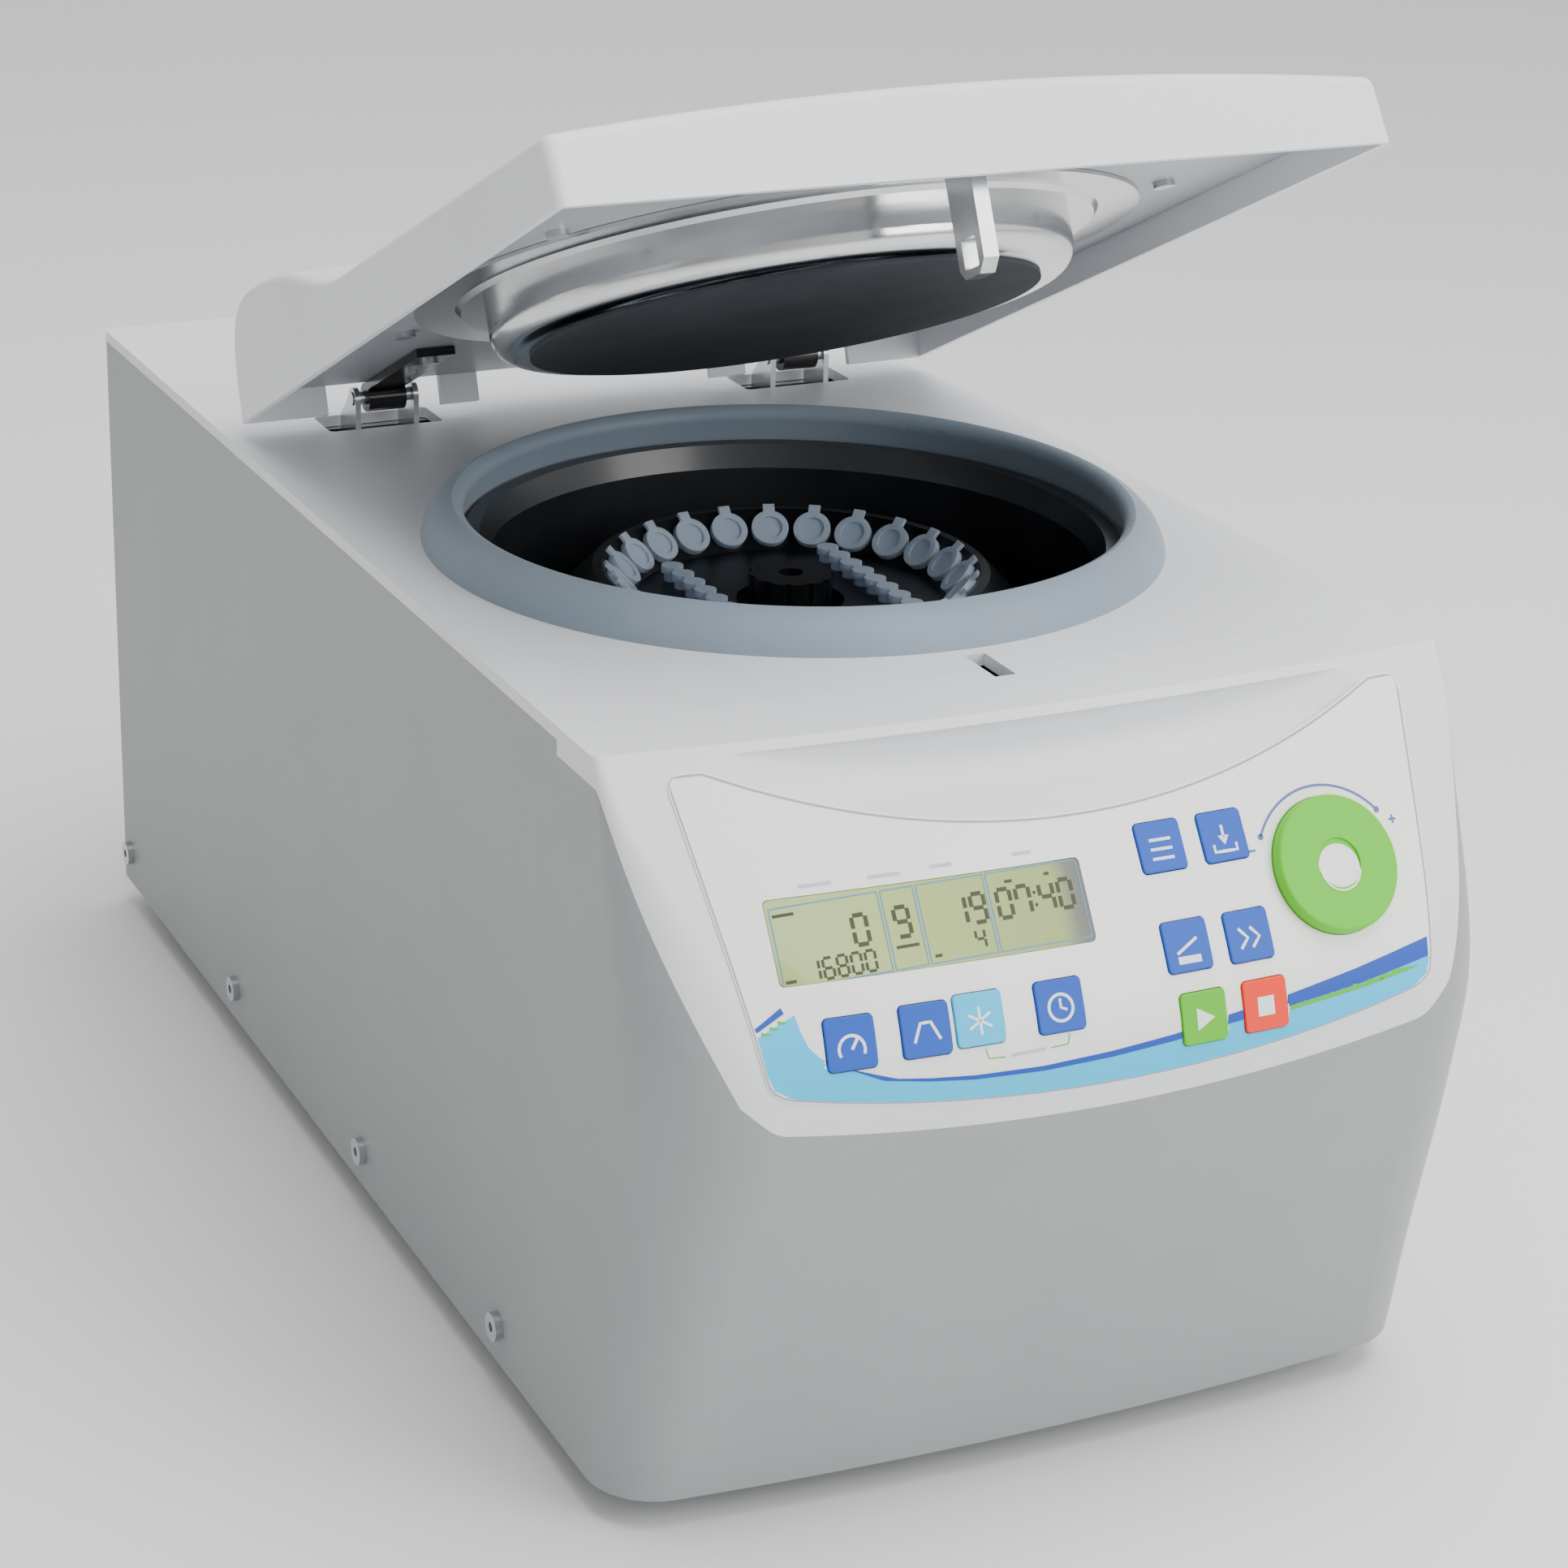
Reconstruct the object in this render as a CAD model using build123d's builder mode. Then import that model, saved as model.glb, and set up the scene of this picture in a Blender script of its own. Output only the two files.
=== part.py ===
"""Benchtop refrigerated microcentrifuge with its lid standing open.

+Z is up, -Y is the front with the control panel and +X is the user's right.
The origin is on the bench under the middle of the housing. Sizes are millimetres.
"""
import os
from math import cos, radians, sin

from build123d import *

os.makedirs("parts", exist_ok=True)

# ---- housing -----------------------------------------------------------------
body_width = 280.0
body_depth = 560.0
body_top = 242.1  # top cover above the bench
foot_height = 11.3
skin = 3.0  # wall of the casing and the console
top_thickness = 4.0
front_bow = 8.0  # how far the middle of the front stands ahead of its corners
rear_corner = 4.0
least_corner = 1.0
# (share of the casing height, setback from the chin, corner radius in plan)
# the first and last lie beyond the casing, so that the form leaves both ends smoothly
front_profile = (
    (-0.125, 39.0, 20.0),
    (0.0, 33.0, 22.0),
    (0.125, 26.0, 25.0),
    (0.25, 18.5, 28.0),
    (0.375, 10.5, 31.0),
    (0.5, 3.0, 35.0),
    (0.6, 0.0, 36.0),
    (0.7, 7.5, 31.0),
    (0.8, 21.5, 22.0),
    (0.9, 37.0, 10.0),
    (1.0, 53.0, 3.5),
    (1.1, 69.0, 2.0),
)
ridge_setback = 50.0  # front face behind the chin at the upper lip of the scoop
fit_gap = 0.2  # gap between moulded pieces of the housing
half_width = body_width / 2
front_y = -body_depth / 2
rear_y = body_depth / 2
top_under = body_top - top_thickness
seam_y = front_y + 87.0  # joint between the top cover and the console

# ---- console, overlay and controls -------------------------------------------
console_side_mid = 6.3  # console edge inside the casing side, at mid height
console_side_low = 23.0
console_mid_drop = 42.0
console_low_drop = 88.0
console_bottom_drop = 97.0
console_bottom_mid_drop = 104.5
console_corner = 12.0
overlay_film = 0.45
overlay_top_inset = 18.5
overlay_bottom_inset = 31.0
overlay_top_drop = 5.8
overlay_dip_half = 110.0
overlay_dip_drop = 26.6
overlay_low_drop = 86.0
overlay_bottom_drop = 97.0
overlay_corner = 9.0
overlay_top_corner = 4.0
scoop_half = 107.0
scoop_depth = 9.0
scoop_top_drop = 2.6
scoop_bottom_drop = 20.0
scoop_run = 15.0  # the scoop's lower edge ahead of its lip
scoop_belly = 3.5
lcd_left = -half_width + 39.0
lcd_width = 98.0
lcd_top_drop = 37.6
lcd_bottom_drop = 58.1
lcd_glass = 1.6
key_size = 15.0
key_corner = 1.5
key_edge = 0.4
key_thick = 2.2
key_proud = 0.55  # key face above the overlay film
key_travel = 0.5
key_gap = 0.3
knob_radius = 20.8
knob_cap_radius = 7.5
knob_proud = 4.0
knob_seat = 1.2  # depth of the round seat in the console
knob_shaft_radius = 3.0
knob_x = half_width - 59.0
knob_cap_dish = 0.6
knob_shaft_length = 9.0
knob_drop = 50.6
key_column_2 = knob_x - 35.3
key_column_1 = key_column_2 - 21.3
# key name: (x, drop below the top cover)
key_places = {
    "key_program": (key_column_1, 38.4),
    "key_save": (key_column_2, 38.5),
    "key_open": (key_column_1 + 1.2, 63.4),
    "key_pulse": (key_column_2 + 1.0, 63.7),
    "key_start": (key_column_1 + 3.3, 82.5),
    "key_stop": (key_column_2 + 3.1, 82.4),
    "key_speed": (lcd_left + 17.3, 74.0),
    "key_accel": (lcd_left + 40.2, 73.4),
    "key_cooling": (lcd_left + 56.9, 72.7),
    "key_time": (lcd_left + 82.5, 72.7),
}

# ---- chamber and rotor -------------------------------------------------------
chamber_y = front_y + 226.0
gasket_outer = 122.3
gasket_crown = 112.0
gasket_height = 12.7
gasket_inner = 110.0
bowl_mouth = 103.0
bowl_inner = 100.0
bowl_wall = 1.5
bowl_floor = body_top - 72.0  # upper face of the bowl floor
bowl_lip = 0.7  # bowl flange above the top cover
bowl_lip_gap = 1.7
bowl_hole = 18.0
coil_tube = 3.6
coil_pitch = 13.0
coil_turns = 4
insulation_inner = 110.5
insulation_outer = 118.0
insulation_floor = 12.0
rotor_radius = 93.0
rotor_deck = body_top - 22.3
rotor_bottom = bowl_floor + 11.0
tube_count = 24
tube_circle = 55.0  # radius of the cap centres
tube_first_angle = 12.0
tube_tilt = 45.0
cap_level = body_top - 15.1
cap_radius = 6.4
cap_thick = 2.6
tube_radius = 5.4
tube_straight = 24.0
tube_cone = 11.5
tube_tip_radius = 1.9
tube_gap = 0.15
strip_x = 29.0
strip_count = 8
strip_pitch = 9.0
strip_tube_radius = 2.8
strip_tube_length = 17.0
strip_rise = 5.2  # top of the strip above the rotor deck
nut_radius = 14.0
nut_height = 9.0
shaft_radius = 6.0
shaft_fit = 0.05
motor_radius = 48.0
motor_bottom = 66.0
mount_thick = 4.0
mount_side = 150.0
motor_neck_radius = 16.0
rotor_rim_reach = 6.0

# ---- lid and hinges ----------------------------------------------------------
hinge_y = chamber_y + 170.0
hinge_z = body_top + 10.4
lid_open = 25.5  # degrees, as the lid stands in the rest pose
lid_half = 135.8
lid_wall = 2.5
lid_rim = -5.0  # rim of the lid measured from the hinge line, along the lid's own normal
lid_front = -326.0
lid_rear = 2.5
lid_side_height = 21.5
lid_flat_height = 24.7
lid_hump_height = 42.2
lid_crown = 7.0
lid_draft = 4.2
lid_round = 4.0  # outer edges of the lid
lid_notch_height = 14.5
hinge_x = 82.0
notch_half = 21.5
open_notch_half = 46.0
inner_plate_level = 5.2
inner_plate_thick = 2.0
dish_flange_radius = 119.0
dish_sheet = 1.2
dish_boss_radius = 96.0
dish_boss_level = -15.4
dish_round = 8.0
dish_step = 1.6  # raised ring round the foot of the boss
dish_step_width = 8.0
disc_radius = 84.0
disc_thick = 1.0
ear_thick = 2.0
ear_half_gap = 10.0
pin_radius = 2.5
pin_fit = 0.05
leaf_half = 7.0
knuckle_radius = 5.2
striker_y = -307.0  # middle of the striker from the hinge line
striker_length = 16.0
striker_thick = 5.0
striker_bottom = -31.0
striker_window = 9.0
slot_length = 20.0
slot_width = 7.0
bolt_radius = 3.5
bolt_gap = 0.3
leaf_reach = 62.0
leaf_thick = 3.0
bolt_length = 26.0
lock_width = 76.0
lock_length = 28.0
lock_depth = 40.0
hinge_slot_middle = 6.0
hinge_slot_depth = 20.0

# ---- rear and underside ------------------------------------------------------
rear_window_margin = 16.0
rear_plate = 2.0
rear_lap = 5.0  # rear panel lapped behind the casing
vent_width = 5.0
vent_pitch = 9.5
vent_count = 11
vent_height = 100.0
fan_x = 62.0
fan_z = 132.0
fan_radius = 52.0
fan_hub = 19.0
fan_blades_count = 7
fan_frame_depth = 25.0
fan_spindle = 3.0
condenser_depth = 30.0
condenser_height = 120.0
condenser_pitch = 5.5
condenser_fins = 21
condenser_rows = 5
compressor_x = -68.0
compressor_y = chamber_y + 214.0
compressor_radius = 52.0
compressor_height = 130.0
coil_exit_y = chamber_y + 120.0
board_x = 70.0
board_y = chamber_y + 174.0
control_board_drop = 66.0
control_board_depth = 17.0
control_board_width = 180.0
control_board_height = 56.0
lcd_module_depth = 4.5
lcd_module_height = 26.0
knob_encoder_depth = 5.0
inlet_x = -85.0
inlet_z = 50.0
inlet_width = 28.0
inlet_height = 20.0
inlet_depth = 20.0
inlet_lip = 3.0
switch_x = -85.0
switch_z = 88.0
switch_width = 15.0
switch_height = 21.0
switch_rim = 1.5
switch_depth = 12.0
rocker_gap = 1.6
screw_height = 24.8
screw_head = 4.75
screw_head_height = 2.6
screw_shank = 2.0
screw_length = 8.0
screw_places = (267.1, 124.8, -18.8, -147.7)
foot_radius = 15.0
foot_inset_x = 30.0
foot_front = 78.0  # foot centre behind the chin
foot_rear = 45.0
pan_thick = 2.0
pan_upstand = 24.0
pan_gap = 0.5

# ---- small internal sizes ----------------------------------------------------
board_thick = 1.6
bracket_drop = 8.0  # hinge bracket tray below the underside of the top cover
bracket_front = 4.0  # bracket ear ahead of and round the pin
bracket_rear = 13.0
bracket_pad = 20.0
damper_spot = 60.0
damper_radius = 11.0
damper_stem = 4.0
damper_rise = 6.0
end_clear = 3.0  # motor neck and shaft seal below the bowl
shaft_step = 2.0  # how much thinner the shaft is inside the nut
shaft_shoulder = 4.0  # shoulder of the shaft below the rotor deck
shaft_stub = 9.0
bearing_rise = 10.0  # blind end of the motor's bore above its base
shaft_rise = 12.0
rotor_hub = 24.0
rotor_hub_depth = 6.0
rotor_hub_flare = 6.0
rotor_belly = 26.0
rotor_belly_rise = 12.0
rotor_side_rise = 22.0
rotor_rim_width = 3.0
cap_tab = (4.0, 5.2, 1.2)
cap_recess = 0.8
cap_wall = 2.2
strip_bar = (3.0, 1.6)
strip_bar_end = 6.0
strip_cap = 2.4
strip_cap_lip = 0.9
strip_body = 9.0
strip_cone = 7.0
strip_tip = 1.2
nut_foot = 3.8
nut_notches = 12
nut_notch_radius = 1.6
lock_floor = 6.0
bolt_rest = 2.5  # bolt tip behind the slot at rest
striker_eye = 2.5  # striker foot below its window
striker_head = 26.0
striker_head_thick = 2.0
plate_screw_x = 104.0
plate_screw_y = 74.0
plate_screw_radius = 3.5
leaf_screw_radius = 3.0
leaf_screw_near = 7.0
leaf_screw_far = 27.0
compressor_round = 24.0
compressor_feet = 8.0
compressor_lift = 12.0
pipe_radius = 3.0
pipe_reach = 22.0
pipe_rise = 20.0
pipe_end_x = -40.0
fin_thick = 1.0
condenser_tube = 4.0
condenser_cheek = 1.6
duct_gap = 4.0
fan_margin = 12.0
fan_screw = 2.2
strut_width = 4.0
strut_thick = 3.0
blade_chord = 22.0
blade_pitch = 32.0
power_board_size = (90.0, 84.0)
power_board_lift = 12.0
capacitor = (11.0, 32.0)
transformer = (34.0, 38.0, 26.0)
heat_sink = (60.0, 4.0, 30.0)
encoder_side = 13.0
encoder_depth = 7.0
hung = (Align.CENTER, Align.CENTER, Align.MAX)  # built downward from its place
stood = (Align.CENTER, Align.CENTER, Align.MIN)  # built upward from its place


def save(piece, name):
    """Label a finished piece and write it as one STEP file."""
    piece.part.label = name
    export_step(piece.part, f"parts/{name}.step")


def body_form(inset):
    """Solid form of the housing, drawn in by inset at the front, sides and rear."""
    half = half_width - inset
    rear = rear_y - inset
    with BuildPart() as form:
        for share, setback, corner in front_profile:
            front = front_y + setback + inset
            level = foot_height + share * (body_top - foot_height)
            with BuildSketch(Plane.XY.offset(level)) as section:
                with BuildLine():
                    Polyline((-half, front + front_bow), (-half, rear), (half, rear),
                             (half, front + front_bow))
                    ThreePointArc((half, front + front_bow), (0, front), (-half, front + front_bow))
                make_face()
                fillet(section.vertices().group_by(Axis.Y)[0], max(corner - inset, least_corner))
                fillet(section.vertices().group_by(Axis.Y)[-1], rear_corner)
        loft()
        split(bisect_by=Plane.XY.offset(foot_height), keep=Keep.TOP)
        split(bisect_by=Plane.XY.offset(body_top), keep=Keep.BOTTOM)
    return form.part


outer_form = body_form(0)
inner_form = body_form(skin)
film_form = body_form(-overlay_film)
glass_form = body_form(lcd_glass)
seam_plane = Plane.XZ.offset(-seam_y)
panel_reach = seam_y - front_y + 10  # how far a cut from the seam plane runs to pass the chin


def panel_plane(x, drop):
    """Plane that touches the front of the housing at x, drop below the top cover."""
    ray = Axis((x, 2 * front_y, body_top - drop), (0, 1, 0))
    point, normal = outer_form.find_intersection_points(ray)[0]
    return Plane(point, x_dir=Vector(0, 0, 1).cross(normal), z_dir=normal)


key_planes = {name: panel_plane(*place) for name, place in key_places.items()}
knob_plane = panel_plane(knob_x, knob_drop)

# ---- regions of the front, as prisms that run forward from the seam ----------
with BuildPart() as console_region:
    with BuildSketch(seam_plane) as face:
        with BuildLine():
            low = (half_width - console_side_low, body_top - console_low_drop)
            top = (half_width + 1, body_top + 1)
            middle = (half_width - console_side_mid, body_top - console_mid_drop)
            base = (half_width - console_side_low - 10, body_top - console_bottom_drop)
            ThreePointArc((-low[0], low[1]), (-middle[0], middle[1]), (-top[0], top[1]))
            Line((-top[0], top[1]), top)
            ThreePointArc(top, middle, low)
            Line(low, base)
            ThreePointArc(base, (0, body_top - console_bottom_mid_drop), (-base[0], base[1]))
            Line((-base[0], base[1]), (-low[0], low[1]))
        make_face()
        fillet(face.vertices().group_by(Axis.Y)[0], console_corner)
    extrude(amount=panel_reach)

with BuildPart() as overlay_region:
    with BuildSketch(seam_plane) as face:
        with BuildLine():
            corner_top = (half_width - overlay_top_inset, body_top - overlay_top_drop)
            corner_low = (half_width - overlay_bottom_inset, body_top - overlay_low_drop)
            dip_end = (overlay_dip_half, body_top - overlay_top_drop)
            Line((-corner_low[0], corner_low[1]), (-corner_top[0], corner_top[1]))
            Line((-corner_top[0], corner_top[1]), (-dip_end[0], dip_end[1]))
            ThreePointArc((-dip_end[0], dip_end[1]), (0, body_top - overlay_dip_drop), dip_end)
            Line(dip_end, corner_top)
            Line(corner_top, corner_low)
            ThreePointArc(corner_low, (0, body_top - overlay_bottom_drop), (-corner_low[0], corner_low[1]))
        make_face()
        fillet(face.vertices().group_by(Axis.Y)[0], overlay_corner)
        tops = face.vertices().group_by(Axis.Y)[-1].sort_by(Axis.X)
        fillet([tops[0], tops[-1]], overlay_top_corner)
    extrude(amount=panel_reach)


def lcd_prism(grow):
    """Prism over the display window, grown by a clearance on each side."""
    with BuildPart() as prism:
        with BuildSketch(seam_plane):
            middle_x = lcd_left + lcd_width / 2
            middle_z = body_top - (lcd_top_drop + lcd_bottom_drop) / 2
            with Locations((middle_x, middle_z)):
                RectangleRounded(lcd_width + 2 * grow, lcd_bottom_drop - lcd_top_drop + 2 * grow, 1.5)
        extrude(amount=panel_reach)
    return prism.part


scoop_sweep = scoop_half**2 / (2 * (scoop_depth - front_bow * (scoop_half / half_width) ** 2))
ridge_y = front_y + ridge_setback


def scoop_form(grow):
    """Finger scoop under the ridge, whose back curves forward until it fades into the face."""
    lip_z = body_top - scoop_top_drop + grow / 2
    edge_z = body_top - scoop_bottom_drop - grow
    back_y = ridge_y + scoop_depth + grow
    edge = (ridge_y - scoop_run, edge_z)
    belly = ((edge[0] + back_y) / 2 + scoop_belly, (edge_z + lip_z) / 2 - scoop_belly)
    with BuildPart() as form:
        with BuildSketch(Plane.YZ):
            with BuildLine():
                Polyline((back_y, lip_z), (front_y, lip_z), (front_y, edge_z), edge)
                ThreePointArc(edge, belly, (back_y, lip_z))
            make_face()
        revolve(axis=Axis((0, back_y - scoop_sweep, 0), (0, 0, 1)), revolution_arc=5.0)
        mirror(about=Plane.YZ)
    return form.part


# ---- housing pieces ----------------------------------------------------------
with BuildPart() as hollow:
    add(inner_form)
    split(bisect_by=Plane.XY.offset(top_under), keep=Keep.BOTTOM)


def knob_disc(radius, depth, rise):
    """Disc on the knob's axis, from depth under the console face to rise above it."""
    with BuildPart() as disc:
        with BuildSketch(knob_plane.offset(-depth)):
            Circle(radius)
        extrude(amount=depth + rise)
    return disc.part


def key_block(plane, grow, depth, rise):
    """Rounded square block on a key's plane, from depth under the face to rise above it."""
    with BuildPart() as block:
        with BuildSketch(plane.offset(-depth)):
            RectangleRounded(key_size + 2 * grow, key_size + 2 * grow, key_corner + grow)
        extrude(amount=depth + rise)
    return block.part


key_depth = key_thick - key_proud - overlay_film
pocket_depth = key_depth + key_travel + key_gap
key_pockets = [key_block(plane, key_gap, pocket_depth, 6) for plane in key_planes.values()]
knob_seat_cut = knob_disc(knob_radius + key_gap, knob_seat, 20)
knob_shaft_cut = knob_disc(knob_shaft_radius + key_gap, 12, 1)

with BuildPart() as scoop_back:
    add(scoop_form(skin))
    add(outer_form, mode=Mode.INTERSECT)

with BuildPart() as console_frame:
    add(outer_form)
    add(hollow.part, mode=Mode.SUBTRACT)
    add(scoop_back.part)
    add(console_region.part, mode=Mode.INTERSECT)
    add(scoop_form(0), mode=Mode.SUBTRACT)
    add(lcd_prism(fit_gap), mode=Mode.SUBTRACT)
    add(key_pockets, mode=Mode.SUBTRACT)
    add([knob_seat_cut, knob_shaft_cut], mode=Mode.SUBTRACT)
    with BuildSketch(Plane.XY.offset(body_top)):
        with Locations((0, striker_y + hinge_y)):
            Rectangle(slot_width, slot_length)
    extrude(amount=-top_thickness - 1, mode=Mode.SUBTRACT)
save(console_frame, "console_frame")

with BuildPart() as panel_overlay:
    add(film_form)
    add(outer_form, mode=Mode.SUBTRACT)
    add(overlay_region.part, mode=Mode.INTERSECT)
    add(lcd_prism(fit_gap), mode=Mode.SUBTRACT)
    add(key_pockets, mode=Mode.SUBTRACT)
    add(knob_seat_cut, mode=Mode.SUBTRACT)
save(panel_overlay, "panel_overlay")

with BuildPart() as lcd_window:
    add(film_form)
    add(glass_form, mode=Mode.SUBTRACT)
    add(lcd_prism(0), mode=Mode.INTERSECT)
save(lcd_window, "lcd_window")

for key_name, key_plane in key_planes.items():
    with BuildPart() as key:
        add(key_block(key_plane, 0, key_depth, key_proud + overlay_film))
        fillet(key.edges().group_by(Axis(key_plane.origin, key_plane.z_dir))[-1], key_edge)
    save(key, key_name)

with BuildPart() as knob:
    add(knob_disc(knob_radius, knob_seat - key_gap, knob_proud))
    fillet(knob.edges().group_by(Axis(knob_plane.origin, knob_plane.z_dir))[-1], 1.2)
    with BuildSketch(knob_plane.offset(knob_proud)):
        Circle(knob_cap_radius)
    extrude(amount=-knob_cap_dish, mode=Mode.SUBTRACT)
    add(knob_disc(knob_shaft_radius, knob_shaft_length, 0))
save(knob, "knob")

with BuildPart() as casing:
    add(outer_form)
    add(inner_form, mode=Mode.SUBTRACT)
    add(console_region.part, mode=Mode.SUBTRACT)
    split(bisect_by=Plane.XY.offset(top_under), keep=Keep.BOTTOM)
    with BuildSketch(Plane.XZ.offset(-rear_y)):
        with Locations((0, (top_under + foot_height) / 2)):
            Rectangle(body_width - 2 * rear_window_margin, top_under - foot_height - 2 * rear_window_margin)
    extrude(amount=skin + 1, mode=Mode.SUBTRACT)
    with Locations(Plane.YZ):
        with Locations(*[(y, screw_height, 0) for y in screw_places]):
            Cylinder(screw_shank + fit_gap / 2, body_width + 2, mode=Mode.SUBTRACT)
save(casing, "casing")

with BuildPart() as top_cover:
    add(outer_form)
    split(bisect_by=Plane.XY.offset(top_under), keep=Keep.TOP)
    split(bisect_by=Plane.XZ.offset(-seam_y - fit_gap), keep=Keep.BOTTOM)
    with BuildSketch(Plane.XY.offset(body_top)):
        with Locations((0, chamber_y)):
            Circle(gasket_inner + fit_gap)
        with Locations((0, striker_y + hinge_y)):
            Rectangle(slot_width, slot_length)
        with Locations((-hinge_x, hinge_y + hinge_slot_middle), (hinge_x, hinge_y + hinge_slot_middle)):
            RectangleRounded(2 * notch_half, hinge_slot_depth, 2)
    extrude(amount=-top_thickness - 1, mode=Mode.SUBTRACT)
save(top_cover, "top_cover")

with BuildPart() as rear_panel:
    with BuildSketch(Plane.XZ.offset(-rear_y + skin)):
        with Locations((0, (top_under + foot_height) / 2)):
            Rectangle(
                body_width - 2 * rear_window_margin + 2 * rear_lap,
                top_under - foot_height - 2 * rear_window_margin + 2 * rear_lap,
            )
        with Locations((fan_x, fan_z)):
            with GridLocations(vent_pitch, 0, vent_count, 1):
                SlotOverall(vent_height, vent_width, rotation=90, mode=Mode.SUBTRACT)
        with Locations((inlet_x, inlet_z)):
            Rectangle(inlet_width + fit_gap, inlet_height + fit_gap, mode=Mode.SUBTRACT)
        with Locations((switch_x, switch_z)):
            Rectangle(switch_width + 2 * switch_rim + fit_gap, switch_height + 2 * switch_rim + fit_gap,
                      mode=Mode.SUBTRACT)
    extrude(amount=rear_plate)
save(rear_panel, "rear_panel")

panel_face = Plane.XZ.offset(-rear_y + skin)
with BuildPart() as mains_inlet:
    with BuildSketch(panel_face):
        with Locations((inlet_x, inlet_z)):
            RectangleRounded(inlet_width + 2 * inlet_lip, inlet_height + 2 * inlet_lip, 2)
    extrude(amount=-inlet_lip)
    with BuildSketch(panel_face):
        with Locations((inlet_x, inlet_z)):
            Rectangle(inlet_width, inlet_height)
    extrude(amount=inlet_depth)
    with BuildSketch(panel_face.offset(inlet_lip)):
        with Locations((inlet_x, inlet_z)):
            RectangleRounded(inlet_width - 4, inlet_height - 4, 3)
    extrude(amount=inlet_depth, both=True, mode=Mode.SUBTRACT)
    with BuildSketch(panel_face.offset(inlet_depth)):
        with Locations((inlet_x, inlet_z)):
            Rectangle(inlet_width, inlet_height)
    extrude(amount=inlet_lip)
    with BuildSketch(panel_face.offset(inlet_depth)):
        with Locations((inlet_x - 7, inlet_z - 1), (inlet_x + 7, inlet_z - 1), (inlet_x, inlet_z + 3)):
            Rectangle(2, 4)
    extrude(amount=-inlet_depth + inlet_lip)
save(mains_inlet, "mains_inlet")

with BuildPart() as switch_bezel:
    with BuildSketch(panel_face.offset(-switch_rim)):
        with Locations((switch_x, switch_z)):
            RectangleRounded(switch_width + 2 * switch_rim, switch_height + 2 * switch_rim, 1.4)
            Rectangle(switch_width, switch_height, mode=Mode.SUBTRACT)
    extrude(amount=switch_depth)
save(switch_bezel, "switch_bezel")

rocker_y = rear_y - skin - 3.0
with BuildPart() as rocker_switch:
    with BuildSketch(Plane.YZ.offset(switch_x - switch_width / 2 + key_gap)):
        with BuildLine():
            half = switch_height / 2 - rocker_gap
            Polyline(
                (rocker_y - 3, switch_z - 7), (rocker_y + 5.0, switch_z - half), (rocker_y + 3.6, switch_z),
                (rocker_y + 3.0, switch_z + half - 1), (rocker_y - 3, switch_z + 7), close=True,
            )
        make_face()
    extrude(amount=switch_width - 2 * key_gap)
save(rocker_switch, "rocker_switch")

with BuildPart() as base_pan:
    add(body_form(skin + pan_gap))
    split(bisect_by=Plane.XY.offset(foot_height + pan_upstand), keep=Keep.BOTTOM)
    with BuildSketch(Plane.XY.offset(foot_height + pan_thick)):
        with Locations((0, 20)):
            Rectangle(body_width - 2 * skin - 2 * pan_gap - 2 * pan_thick, body_depth + 100)
    extrude(amount=pan_upstand, mode=Mode.SUBTRACT)
    with Locations(Plane.YZ):
        with Locations(*[(y, screw_height, 0) for y in screw_places]):
            Cylinder(screw_shank + fit_gap / 2, body_width + 2, mode=Mode.SUBTRACT)
save(base_pan, "base_pan")

foot_x = half_width - foot_inset_x
foot_spots = [(x, y) for x in (-foot_x, foot_x) for y in (front_y + foot_front, rear_y - foot_rear)]
with BuildPart() as feet:
    with Locations(*[(x, y, 0) for x, y in foot_spots]):
        Cylinder(foot_radius, foot_height, align=stood)
    chamfer(feet.edges().group_by(Axis.Z)[0], 1.5)
save(feet, "feet")

with BuildPart() as side_screws:
    for side in (-1, 1):
        outward = Plane((side * half_width, 0, 0), x_dir=(0, side, 0), z_dir=(side, 0, 0))
        with Locations(outward):
            with Locations(*[(side * y, screw_height, 0) for y in screw_places]):
                Cylinder(screw_head, screw_head_height, align=stood)
                Cylinder(screw_shank, screw_length, align=hung)
                with Locations((0, 0, screw_head_height)):
                    Cylinder(1.6, 1.4, align=hung, mode=Mode.SUBTRACT)
save(side_screws, "side_screws")

# ---- chamber -----------------------------------------------------------------
chamber_axis = Axis((0, chamber_y, 0), (0, 0, 1))
chamber_side = Plane((0, chamber_y, 0), x_dir=(1, 0, 0), z_dir=(0, -1, 0))

with BuildPart() as gasket_ring:
    with BuildSketch(chamber_side):
        with BuildLine():
            crown = (gasket_crown, body_top + gasket_height)
            foot = (gasket_outer, body_top)
            inner = (gasket_inner, body_top)
            inner_top = (gasket_inner - 1.5, body_top + gasket_height - 5.5)
            Line(inner, foot)
            TangentArc(foot, crown, tangent=(-0.15, 1))
            ThreePointArc(crown, (gasket_inner - 0.8, body_top + gasket_height - 1.6), inner_top)
            Line(inner_top, inner)
        make_face()
    revolve(axis=chamber_axis)
save(gasket_ring, "gasket_ring")

with BuildPart() as chamber_bowl:
    with BuildSketch(chamber_side):
        with BuildLine():
            top = body_top + bowl_lip
            Polyline(
                (bowl_hole, bowl_floor), (bowl_inner, bowl_floor), (bowl_inner, top - 8),
                (bowl_mouth, top), (gasket_inner - bowl_lip_gap, top),
                (gasket_inner - bowl_lip_gap, top - bowl_wall),
                (bowl_mouth + 1, top - bowl_wall), (bowl_inner + bowl_wall, top - 9),
                (bowl_inner + bowl_wall, bowl_floor - bowl_wall), (bowl_hole, bowl_floor - bowl_wall),
                close=True,
            )
        make_face()
    revolve(axis=chamber_axis)
save(chamber_bowl, "chamber_bowl")

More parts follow.
